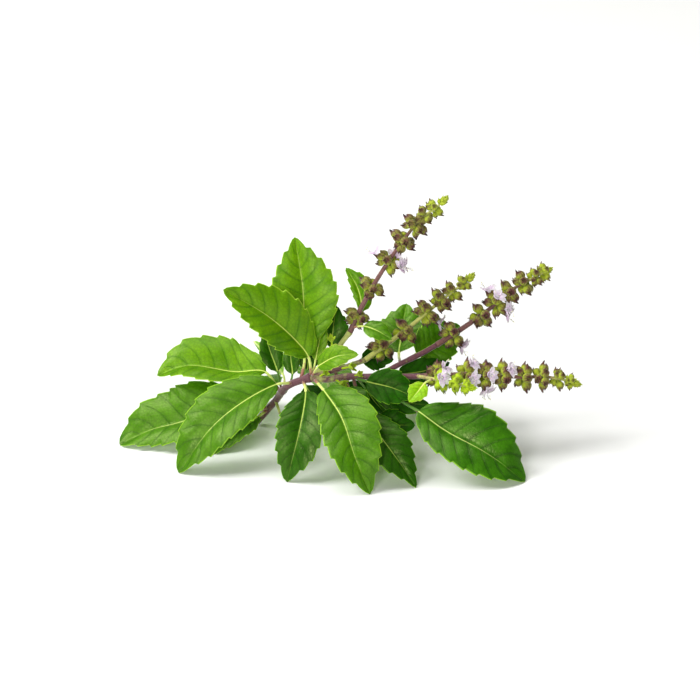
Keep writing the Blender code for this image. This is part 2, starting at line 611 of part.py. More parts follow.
def leaf_material(name):
    if name in ("leaf_young", "leaf_lime", "leaf_pale"):
        return finish("young leaf", YOUNG_GREEN, 0.5)
    if "dark" in name or "back" in name:
        return finish("shaded leaf", DARK_GREEN, 0.5)
    return finish("fresh leaf", GREEN, 0.42)


clear_scene()
make_stem()
stem_samples = axis_samples()
bare_samples = axis_samples("spike_young")
for spike_name, spike in SPIKES.items():
    make_spike(spike_name, bare_samples, **spike)
for leaf_name, leaf in LEAVES.items():
    make_leaf(leaf_name, stem_samples, material=leaf_material(leaf_name), **leaf)
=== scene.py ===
# %% [markdown]
# # Holy basil sprig
# A cut sprig lies on a white surface: a forking, hairy stem, toothed leaves, and spikes of small lilac flowers.
# The solid model gives each leaf, the stem and each spike its place. Here every one of them is made again as a
# fine mesh with its own finish. We begin by loading the solids and keeping the size of their box.

# %% Load the frame
import math
import random

import bpy
import numpy as np
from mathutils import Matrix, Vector


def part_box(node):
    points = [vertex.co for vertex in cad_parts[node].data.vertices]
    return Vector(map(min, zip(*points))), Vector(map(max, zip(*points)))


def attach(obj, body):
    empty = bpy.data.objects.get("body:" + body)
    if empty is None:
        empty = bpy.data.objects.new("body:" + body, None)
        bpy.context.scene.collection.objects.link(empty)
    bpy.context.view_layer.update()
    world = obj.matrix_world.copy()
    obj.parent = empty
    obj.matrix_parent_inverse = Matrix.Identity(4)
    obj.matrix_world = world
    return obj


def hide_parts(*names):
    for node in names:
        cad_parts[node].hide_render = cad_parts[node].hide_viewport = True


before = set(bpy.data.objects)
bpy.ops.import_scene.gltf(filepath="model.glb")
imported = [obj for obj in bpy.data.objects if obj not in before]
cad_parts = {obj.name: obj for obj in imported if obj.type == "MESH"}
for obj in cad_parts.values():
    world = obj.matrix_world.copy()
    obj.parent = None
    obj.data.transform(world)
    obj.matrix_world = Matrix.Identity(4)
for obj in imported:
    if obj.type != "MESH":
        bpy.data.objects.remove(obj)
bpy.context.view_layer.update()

# %% [markdown]
# The layout is written in millimetres round a point under the fork of the stem, and Blender works in metres.
# One function turns layout points into the frame's metres, so every later cell can think in millimetres.

# %% Millimetres to the frame
MM = 0.001
CENTRE = Vector((-0.23, 4.95, 0.0))


def to_frame(point):
    return (Vector(point) - CENTRE) * MM


print("the fork of the stem is at", [round(v, 4) for v in to_frame((-15, 0, 29))])

# %% [markdown]
# ## Camera, floor and light
# The photograph was taken from the front, looking down by 24 degrees, with a long lens, so the far leaves look
# nearly as large as the near ones. A long lens far away gives the same picture here.

# %% Camera
SENSOR_MM, LENS_MM = 36.0, 128.57
EYE = Vector((0.00023, -0.82714, 0.40626))
AIM = Vector((0.00023, -0.00495, 0.040195))

camera = bpy.data.objects.new("camera", bpy.data.cameras.new("camera"))
bpy.context.scene.collection.objects.link(camera)
camera.data.sensor_width = SENSOR_MM
camera.data.lens = LENS_MM
camera.data.clip_start = 0.01
camera.location = EYE
camera.rotation_euler = (AIM - EYE).to_track_quat("-Z", "Y").to_euler()
bpy.context.scene.camera = camera
print("camera looks down by", round(math.degrees(math.asin((EYE - AIM).normalized().z)), 1), "degrees")

# %% [markdown]
# ## Colours and nodes
# People pick colours as hex codes on a screen, but light adds up in linear values. One function does the change.
# A second one adds a shader node with its settings and links, so a material reads as a short list of nodes.

# %% Colour and node helpers
SMOOTH = {"interpolation_type": "SMOOTHSTEP"}


def linear(code):
    """An sRGB hex colour as linear red, green, blue and full alpha."""
    parts = [int(code[i:i + 2], 16) / 255 for i in (1, 3, 5)]
    return tuple(c / 12.92 if c <= 0.04045 else ((c + 0.055) / 1.055) ** 2.4 for c in parts) + (1.0,)


def add_node(material, kind, inputs=None, **settings):
    """A new node. An input is a number, a colour, a socket, or a node, which stands for its main output."""
    tree = material.node_tree
    node = tree.nodes.new("ShaderNode" + kind)
    for key, value in settings.items():
        setattr(node, key, value)
    for key, value in (inputs or {}).items():
        if isinstance(value, bpy.types.Node):
            value = value.outputs[2 if value.bl_idname == "ShaderNodeMix" else 0]
        if isinstance(value, bpy.types.NodeSocket):
            tree.links.new(value, node.inputs[key])
        else:
            node.inputs[key].default_value = value
    return node


def new_material(name):
    material = bpy.data.materials.new(name)
    material.use_nodes = True
    material.node_tree.nodes.clear()
    return material


print("leaf green in linear values:", [round(v, 3) for v in linear("#5d960f")[:3]])

# %% [markdown]
# The surface is a sheet of matt white paper or acrylic. It is a large plane, so its edge stays out of view, with
# a very faint cloudiness so that it isn't a dead flat white.

# %% Floor
FLOOR_REACH = 3
PAPER_CLOUDS_PER_METRE = 60.0

paper = new_material("matt white paper")
fleck = add_node(paper, "TexNoise", {"Scale": PAPER_CLOUDS_PER_METRE, "Detail": 4.0})
tint = add_node(paper, "Mix", {0: fleck, 6: linear("#f4f4f2"), 7: linear("#f9f9f8")}, data_type="RGBA")
sheet = add_node(paper, "BsdfPrincipled", {"Base Color": tint, "Roughness": 0.8, "Specular IOR Level": 0.2})
add_node(paper, "OutputMaterial", {0: sheet})

floor_mesh = bpy.data.meshes.new("floor")
floor_mesh.from_pydata([(x * FLOOR_REACH, y * FLOOR_REACH, 0) for x, y in ((-1, -1), (1, -1), (1, 1), (-1, 1))],
                       [], [(0, 1, 2, 3)])
floor_mesh.materials.append(paper)
floor = bpy.data.objects.new("floor", floor_mesh)
bpy.context.scene.collection.objects.link(floor)
print("floor is", round(floor.dimensions.x, 1), "m wide")

# %% [markdown]
# The shadows in the photograph are soft and lie under the leaves, and the halves of the leaves that look up and
# to the left shine, so the main light is a wide panel overhead, and a smaller one on the left gives the shine. A
# third panel beside the camera opens the leaves that face it, and a white room fills the rest.

# %% Light
def add_panel(name, place, target, wide, deep, power):
    lamp = bpy.data.lights.new(name, "AREA")
    lamp.shape = "RECTANGLE"
    lamp.size = wide
    lamp.size_y = deep
    lamp.energy = power
    panel = bpy.data.objects.new(name, lamp)
    panel.location = place
    panel.rotation_euler = (Vector(target) - Vector(place)).to_track_quat("-Z", "Y").to_euler()
    bpy.context.scene.collection.objects.link(panel)


add_panel("overhead_panel", (-0.1, 0.35, 2.1), (0.05, 0.1, 0.03), 1.8, 0.9, 21.0)
add_panel("left_panel", (-1.3, -0.12, 1.5), (0, 0, 0.03), 0.9, 0.9, 32.0)
add_panel("front_panel", (-0.6, -2.2, 1.0), (0, 0, 0.04), 0.6, 0.6, 27.0)

room = bpy.data.worlds.new("white_room")
room.use_nodes = True
room.node_tree.nodes["Background"].inputs["Color"].default_value = linear("#f9fbf0")
room.node_tree.nodes["Background"].inputs["Strength"].default_value = 0.2
bpy.context.scene.world = room
bpy.context.scene.view_settings.view_transform = "Standard"

# %% [markdown]
# ## Curves
# A stalk or midrib runs through a few points in a smooth line. A Catmull-Rom curve passes through all of its
# points and doesn't swing out between them. We read it by the distance along it, as one measures a real stalk.

# %% Smooth routes
class Route:
    """A smooth curve through the points, read by the distance along it in millimetres."""

    def __init__(self, points, per_span=24):
        given = [Vector(p) for p in points]
        ends = [given[0] * 2 - given[1], *given, given[-1] * 2 - given[-2]]
        self.dense, self.marks = [], []
        for i in range(1, len(ends) - 2):
            a, b, c, d = ends[i - 1:i + 3]
            tb = math.sqrt((b - a).length)
            tc = tb + math.sqrt((c - b).length)
            td = tc + math.sqrt((d - c).length)
            self.marks.append(len(self.dense))
            for k in range(per_span):
                t = tb + (tc - tb) * k / per_span
                ab, bc, cd = a.lerp(b, t / tb), b.lerp(c, (t - tb) / (tc - tb)), c.lerp(d, (t - tc) / (td - tc))
                abc, bcd = ab.lerp(bc, t / tc), bc.lerp(cd, (t - tb) / (td - tb))
                self.dense.append(abc.lerp(bcd, (t - tb) / (tc - tb)))
        self.marks.append(len(self.dense))
        self.dense.append(given[-1].copy())
        self.reach = [0.0]
        for before, after in zip(self.dense, self.dense[1:]):
            self.reach.append(self.reach[-1] + (after - before).length)
        self.length = self.reach[-1]

    def mark(self, number):
        return self.reach[self.marks[number]]

    def at(self, distance):
        distance = min(max(distance, 0.0), self.length)
        k = min(max(int(np.searchsorted(self.reach, distance)), 1), len(self.reach) - 1)
        share = (distance - self.reach[k - 1]) / max(self.reach[k] - self.reach[k - 1], 1e-9)
        return self.dense[k - 1].lerp(self.dense[k], share)

    def heading(self, distance):
        return (self.at(distance + 0.4) - self.at(distance - 0.4)).normalized()


def smooth_step(value, low, high):
    share = min(max((value - low) / (high - low), 0.0), 1.0)
    return share * share * (3 - 2 * share)


print("a test route is", round(Route([(0, 0, 0), (10, 5, 0), (20, 0, 0)]).length, 2), "mm long")

# %% [markdown]
# The stems and the axes of the flower spikes come first, because every leaf stalk starts on one of them.
# The numbers are the same as in the solid model, so the fine pieces land on the solids.

# %% Stem and spike layout
STEM_RUNS = {
    "main": ([(-34.5, 21.5, 1.6), (-27.5, 14, 13.5), (-22, 3, 25), (-14, 0, 29.5)], 1.35, 1.35),
    "top_branch": ([(-15, 0, 29), (-9, 4, 31.5), (-3, 8, 39.5), (0, 8.5, 43.5)], 1.05, 0.95),
    "middle_branch": ([(-15, 0, 29), (-8, 2, 30.5), (-2, 4, 31.5), (5.5, 6, 33.5)], 1.0, 0.9),
    "lower_right_branch": (
        [(-15, 0, 29), (-8, -1, 29), (-2, -2, 30.5), (9.5, -3, 31), (26.5, -1.5, 30.5)], 1.15, 0.95),
    "upper_right_branch": ([(10, -2.5, 31), (18.5, 3, 33.5), (26.5, 8, 35.5), (31.5, 10.5, 37.5)], 1.0, 0.95),
    "twig_stub": ([(-27.5, 13, 14), (-26.5, 11, 12), (-25.5, 9.5, 9)], 0.6, 0.5),
}
SPIKE_TIP_RADIUS = 0.4
SPIKES = {
    "spike_top": dict(
        path=[(0.0, 8.5, 43.5), (2.5, 10, 49), (8, 12, 59.5), (14, 13, 69.5), (19, 13.5, 77), (23, 14, 82.5),
              (26.5, 14, 86.5), (30, 14, 89), (34.5, 14, 93.5)],
        sizes=[0.95, 1.0, 1.05, 1.05, 1.0, 0.85, 0.75], counts=[6, 6, 6, 6, 6, 4, 4],
        flowers=[(2, 10), (2, 150), (2, 190), (2, 230)], radius=0.9, seed=11),
    "spike_middle": dict(
        path=[(5.5, 6, 33.5), (12, 9, 37.5), (20, 12, 42.5), (28, 15, 48.5), (33, 17, 52), (37, 18.5, 55),
              (41, 20, 57.5), (45, 22, 60.5)],
        sizes=[1.05, 1.05, 1.05, 0.95, 0.85, 0.75], counts=[6, 6, 6, 6, 4, 4],
        flowers=[(2, 150)], radius=0.85, seed=23),
    "spike_upper_right": dict(
        path=[(31.5, 10.5, 37.5), (37.5, 13, 40.5), (48, 17, 46.5), (53.5, 19, 50.5), (58, 21, 54),
              (63, 22, 57), (67.5, 23, 59), (70.5, 24, 60.5), (73.5, 25, 61.5)],
        sizes=[1.05, 1.05, 1.05, 1.0, 0.95, 0.8, 0.7], counts=[6, 6, 6, 6, 6, 4, 4],
        flowers=[(0, 160), (2, 20), (2, 60), (2, 130), (2, 185)], radius=0.92, seed=37),
    "spike_lower_right": dict(
        path=[(26.5, -1.5, 30.5), (31.5, -1, 30.5), (42.5, 0, 30.5), (49, 0.5, 30), (55, 1, 29.5), (63, 2, 28.5),
              (69.5, 2.5, 28.5), (75.5, 3, 27.5), (79.5, 3, 26.5), (83.5, 3, 25)],
        sizes=[1.05, 1.05, 1.05, 1.05, 1.0, 0.95, 0.8, 0.65], counts=[6, 6, 6, 6, 6, 6, 4, 4],
        flowers=[(1, 30), (1, 60), (2, 90), (2, 150), (2, 185), (3, 10)], radius=0.88, seed=43),
    "spike_young": dict(
        path=[(24, -1.7, 30.7), (32, -9, 32.5), (37, -11, 32.5), (41, -12, 31.5), (44.5, -12, 30.5)],
        sizes=[0.85, 0.8, 0.6], counts=[6, 6, 4],
        flowers=[(0, 10), (0, 60)], radius=0.55, seed=57),
}

axis_samples = []
spike_axes = [(s["path"], s["radius"], SPIKE_TIP_RADIUS) for s in SPIKES.values()]
for points, first, last in [*STEM_RUNS.values(), *spike_axes]:
    run = Route(points)
    count = int(run.length / 0.5)
    for k in range(count + 1):
        share = k / count
        axis_samples.append((run.at(run.length * share), first + (last - first) * share))
print("stem and spike axes:", len(axis_samples), "samples, half a millimetre apart")

# %% [markdown]
# ## Mesh builder
# Each piece is written as plain rows of points and faces. The builder takes points in layout millimetres, one
# material number for each face, and named UV maps that hold measures of the real thing, such as how far a point
# is from the midrib. A material can then draw a vein in true millimetres.

# %% Make a piece
def make_piece(name, points, faces, materials, maps, replaced, slots=None):
    """A mesh on the body, in place of the replaced node. Slots hold each face's material number."""
    mesh = bpy.data.meshes.new(name)
    co = (np.array(points, float) - np.array(CENTRE)) * MM
    mesh.from_pydata(co.tolist(), [], faces)
    for material in materials:
        mesh.materials.append(material)
    if slots is not None:
        mesh.polygons.foreach_set("material_index", slots)
    corners = np.zeros(len(mesh.loops), np.int32)
    mesh.loops.foreach_get("vertex_index", corners)
    for map_name, values in maps.items():
        layer = mesh.uv_layers.new(name=map_name)
        layer.data.foreach_set("uv", np.array(values, np.float32)[corners].ravel())
    mesh.polygons.foreach_set("use_smooth", [True] * len(mesh.polygons))
    mesh.update()
    piece = bpy.data.objects.new(name, mesh)
    bpy.context.scene.collection.objects.link(piece)
    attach(piece, "root")
    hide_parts(replaced)
    low, high = (np.array(corner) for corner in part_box(replaced))
    over = max((low - co.min(0)).max(), (co.max(0) - high).max()) / MM
    print(f"{name}: {len(faces)} faces, reaches {over:.2f} mm past its solid's box")
    return piece


print("a piece may replace one of", len(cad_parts), "nodes")

# %% [markdown]
# ## Leaf finishes
# A basil leaf is living tissue under a thin waxy skin (cuticle), IOR about 1.45, which gives a soft gloss. The
# green is chlorophyll inside, so light that passes through comes out yellow-green. A Principled shader stands
# for the skin and a Translucent shader for the light that comes through. The pale midrib and the sunken side
# veins are drawn from the UV maps; the fine net of veins is a Voronoi pattern. The real net has cells of about
# 0.6 mm, under two pixels here, so it is drawn at 1.3 mm.

# %% Upper side of a leaf
NET_MM = 1.3
LEAF_PATCH_MM = 8


def leaf_skin(name, low, high, rib, edge, roughness, through, gloss_level=0.9):
    """The upper side: two greens, midrib and edge colour, roughness, share of light let through, and gloss."""
    leaf = new_material(name)
    veins = add_node(leaf, "SeparateXYZ", {0: add_node(leaf, "UVMap", uv_map="veins")}).outputs
    place = add_node(leaf, "SeparateXYZ", {0: add_node(leaf, "UVMap", uv_map="place")}).outputs
    from_rib = add_node(leaf, "Math", {0: veins["X"]}, operation="ABSOLUTE")
    across = add_node(leaf, "Math", {0: place["X"]}, operation="ABSOLUTE")
    # The midrib is about half a millimetre wide at the stalk and fades out near the tip.
    rib_width = add_node(leaf, "MapRange", {"Value": place["Y"], "From Max": 0.85, "To Min": 0.26, "To Max": 0.07})
    rib_share = add_node(leaf, "Math", {0: from_rib, 1: rib_width}, operation="DIVIDE")
    rib_mask = add_node(leaf, "MapRange", {"Value": rib_share, "From Min": 0.55, "From Max": 1.25,
                                           "To Min": 1.0, "To Max": 0.0}, **SMOOTH)
    rib_fade = add_node(leaf, "MapRange", {"Value": place["Y"], "From Min": 0.35, "From Max": 0.92,
                                           "To Min": 1.0, "To Max": 0.1})
    rib_mask = add_node(leaf, "Math", {0: rib_mask, 1: rib_fade}, operation="MULTIPLY")
    # Side veins lie where the vein count is a whole number. They thin out towards the edge.
    off_vein = add_node(leaf, "Math", {0: veins["Y"], 1: 0.5}, operation="PINGPONG")
    vein_mask = add_node(leaf, "MapRange", {"Value": off_vein, "From Min": 0.008, "From Max": 0.03,
                                            "To Min": 0.6, "To Max": 0.0}, **SMOOTH)
    vein_fade = add_node(leaf, "MapRange", {"Value": across, "From Min": 0.55, "From Max": 0.95,
                                            "To Min": 1.0, "To Max": 0.1})
    vein_mask = add_node(leaf, "Math", {0: vein_mask, 1: vein_fade}, operation="MULTIPLY")
    beside = add_node(leaf, "MapRange", {"Value": off_vein, "From Min": 0.02, "From Max": 0.2,
                                         "To Min": 0.42, "To Max": 0.0}, **SMOOTH)
    here = add_node(leaf, "TexCoord").outputs["Object"]
    net = add_node(leaf, "TexVoronoi", {"Vector": here, "Scale": 1000 / NET_MM, "Randomness": 0.9},
                   feature="DISTANCE_TO_EDGE")
    net_mask = add_node(leaf, "MapRange", {"Value": net, "From Max": 0.16, "To Min": 1.0, "To Max": 0.0}, **SMOOTH)
    # Patches run from the darker to the lighter green, with painted shade beside each vein where the blade dips
    # into its crease.
    cloud = add_node(leaf, "TexNoise", {"Vector": here, "Scale": 1000 / LEAF_PATCH_MM, "Detail": 3.0,
                                        "Roughness": 0.6})
    cloud = add_node(leaf, "MapRange", {"Value": cloud, "From Min": 0.3, "From Max": 0.7})
    shade = add_node(leaf, "Math", {0: cloud, 1: beside}, operation="SUBTRACT", use_clamp=True)
    green = add_node(leaf, "Mix", {0: shade, 6: linear(low), 7: linear(high)}, data_type="RGBA")
    # The side veins and the fine net are mixed towards a darker green: painted shade in their sunken creases.
    dark = add_node(leaf, "HueSaturation", {"Value": 0.52, "Color": green})
    line = add_node(leaf, "Math", {0: net_mask, 1: 0.4}, operation="MULTIPLY")
    line = add_node(leaf, "Math", {0: vein_mask, 1: line}, operation="MAXIMUM")
    green = add_node(leaf, "Mix", {0: line, 6: green, 7: dark}, data_type="RGBA")
    green = add_node(leaf, "Mix", {0: rib_mask, 6: green, 7: linear(rib)}, data_type="RGBA")
    edging = add_node(leaf, "MapRange", {"Value": across, "From Min": 0.95, "From Max": 0.995,
                                         "To Max": 0.85}, **SMOOTH)
    green = add_node(leaf, "Mix", {0: edging, 6: green, 7: linear(edge)}, data_type="RGBA")
    sunk = add_node(leaf, "Math", {0: net_mask, 1: 0.18}, operation="MULTIPLY")
    sunk = add_node(leaf, "Math", {0: sunk, 1: vein_mask}, operation="ADD")
    bump = add_node(leaf, "Bump", {"Strength": 0.8, "Distance": 0.00022, "Height": sunk}, invert=True)
    matt = add_node(leaf, "MapRange", {"Value": cloud, "To Min": roughness - 0.05, "To Max": roughness + 0.08})
    skin = add_node(leaf, "BsdfPrincipled", {
        "Base Color": green, "Roughness": matt, "IOR": 1.45, "Normal": bump, "Specular IOR Level": gloss_level,
        "Specular Tint": linear("#e2f09c")})
    glow = add_node(leaf, "HueSaturation", {"Hue": 0.485, "Value": 1.35, "Color": green})
    inside = add_node(leaf, "BsdfTranslucent", {"Color": glow})
    both = add_node(leaf, "MixShader", {0: through, 1: skin, 2: inside})
    add_node(leaf, "OutputMaterial", {0: both})
    return leaf


# The sunlit, deep and shaded finishes are lighter and darker copies of the fresh green. They are partly the leaves'
# own differences and partly painted light and painted shade: sunlit for leaves the light reaches, deep and shaded
# for leaves that lie in shade under others.
LEAF_SKINS = {
    "sunlit": leaf_skin("sunlit basil leaf", "#599402", "#7fb303", "#e8f67c", "#c8f048", 0.38, 0.3),
    "fresh": leaf_skin("fresh basil leaf", "#3f7902", "#5b9605", "#dcee78", "#b4ea40", 0.37, 0.25),
    "deep": leaf_skin("deep green basil leaf", "#205502", "#326d04", "#c6dc66", "#96d434", 0.35, 0.2, 0.7),
    "glossy": leaf_skin("glossy basil leaf", "#245f02", "#468b05", "#dcee84", "#a4de3a", 0.33, 0.2),
    "shaded": leaf_skin("shaded basil leaf", "#164a02", "#256803", "#b2cc57", "#86c32d", 0.42, 0.2, 0.35),
    "young": leaf_skin("young basil leaf", "#66a00e", "#8eba23", "#f7ff8d", "#faff75", 0.38, 0.35),
    "lime": leaf_skin("lime basil leaf", "#98cf0f", "#c8ed2f", "#ffff9c", "#ffff88", 0.42, 0.35),
}
print("leaf finishes:", list(LEAF_SKINS))

# %% [markdown]
# The underside of a leaf is paler and duller: it has no gloss, fine hairs, and the veins stand out as pale
# ridges. The same UV maps place them, now in a lighter colour and raised by the bump.

# %% Underside of a leaf
BACK_PATCH_MM = 6.25


def leaf_back(name, low, high, rib):
    back = new_material(name)
    veins = add_node(back, "SeparateXYZ", {0: add_node(back, "UVMap", uv_map="veins")}).outputs
    from_rib = add_node(back, "Math", {0: veins["X"]}, operation="ABSOLUTE")
    rib_mask = add_node(back, "MapRange", {"Value": from_rib, "From Min": 0.3, "From Max": 0.65,
                                           "To Min": 1.0, "To Max": 0.0}, **SMOOTH)
    off_vein = add_node(back, "Math", {0: veins["Y"], 1: 0.5}, operation="PINGPONG")
    vein_mask = add_node(back, "MapRange", {"Value": off_vein, "From Min": 0.02, "From Max": 0.07,
                                            "To Min": 0.8, "To Max": 0.0}, **SMOOTH)
    raised = add_node(back, "Math", {0: rib_mask, 1: vein_mask}, operation="MAXIMUM")
    here = add_node(back, "TexCoord").outputs["Object"]
    net = add_node(back, "TexVoronoi", {"Vector": here, "Scale": 1000 / NET_MM}, feature="DISTANCE_TO_EDGE")
    net_mask = add_node(back, "MapRange", {"Value": net, "From Max": 0.12, "To Min": 0.35, "To Max": 0.0})
    pale = add_node(back, "Math", {0: raised, 1: net_mask}, operation="MAXIMUM")
    cloud = add_node(back, "TexNoise", {"Vector": here, "Scale": 1000 / BACK_PATCH_MM, "Detail": 3.0})
    green = add_node(back, "Mix", {0: cloud, 6: linear(low), 7: linear(high)}, data_type="RGBA")
    green = add_node(back, "Mix", {0: pale, 6: green, 7: linear(rib)}, data_type="RGBA")
    bump = add_node(back, "Bump", {"Strength": 0.6, "Distance": 0.00015, "Height": pale})
    skin = add_node(back, "BsdfPrincipled", {
        "Base Color": green, "Roughness": 0.62, "IOR": 1.45, "Normal": bump, "Specular IOR Level": 0.25,
        "Sheen Weight": 0.15, "Sheen Roughness": 0.5})
    inside = add_node(back, "BsdfTranslucent", {"Color": green})
    both = add_node(back, "MixShader", {0: 0.3, 1: skin, 2: inside})
    add_node(back, "OutputMaterial", {0: both})
    return back


LEAF_BACK = leaf_back("pale leaf underside", "#77be25", "#a2df4c", "#f1ffab")
print("underside finish:", LEAF_BACK.name)

# %% [markdown]
# ## Stem finishes
# A basil stem is four-sided and hairy. Where the sun reaches it, a purple dye (anthocyanin) colours the skin, and
# shaded parts stay green. The UV map "along" carries how purple each point is. The hairs of the real stem are
# 0.03 mm thick, too fine to show, so a stretched noise gives their streaks at about 0.4 mm.

# %% Stem and stalk
STEM_PATCHES_PER_METRE, STEM_STREAKS_PER_METRE = 420.0, 2400.0


def stem_skin(name, green_low, green_high, purple_low, purple_high, roughness=0.5):
    stem = new_material(name)
    dye = add_node(stem, "SeparateXYZ", {0: add_node(stem, "UVMap", uv_map="along")}).outputs["X"]
    here = add_node(stem, "TexCoord").outputs["Object"]
    patch = add_node(stem, "TexNoise", {"Vector": here, "Scale": STEM_PATCHES_PER_METRE, "Detail": 3.0,
                                        "Roughness": 0.65})
    streak = add_node(stem, "TexNoise", {"Vector": here, "Scale": STEM_STREAKS_PER_METRE, "Detail": 2.0})
    green = add_node(stem, "Mix", {0: patch, 6: linear(green_low), 7: linear(green_high)}, data_type="RGBA")
    purple = add_node(stem, "Mix", {0: streak, 6: linear(purple_low), 7: linear(purple_high)}, data_type="RGBA")
    lean = add_node(stem, "Math", {0: patch, 1: 0.5}, operation="SUBTRACT")
    dyed = add_node(stem, "Math", {0: lean, 1: 1.3, 2: dye}, operation="MULTIPLY_ADD")
    dyed = add_node(stem, "MapRange", {"Value": dyed, "From Min": 0.25, "From Max": 0.75}, **SMOOTH)
    colour = add_node(stem, "Mix", {0: dyed, 6: green, 7: purple}, data_type="RGBA")
    bump = add_node(stem, "Bump", {"Strength": 0.7, "Distance": 0.0001, "Height": streak})
    skin = add_node(stem, "BsdfPrincipled", {
        "Base Color": colour, "Roughness": roughness, "IOR": 1.45, "Normal": bump, "Specular IOR Level": 0.4,
        "Sheen Weight": 0.5, "Sheen Roughness": 0.4})
    add_node(stem, "OutputMaterial", {0: skin})
    return stem


STEM_SKIN = stem_skin("hairy basil stem", "#9aa646", "#d8dc86", "#3d1c27", "#8f5d66")
STALK_SKIN = stem_skin("leaf stalk", "#c2df5b", "#f8ff9a", "#854a4c", "#be846e")
# Stalks of leaves that lie in shade get a darker green and brown: painted shade, so they don't show pale.
DARK_STALK_SKIN = stem_skin("shaded leaf stalk", "#3f7418", "#6c9a35", "#5c3a30", "#7e5a48")
print("stem finishes:", STEM_SKIN.name, "and", STALK_SKIN.name)
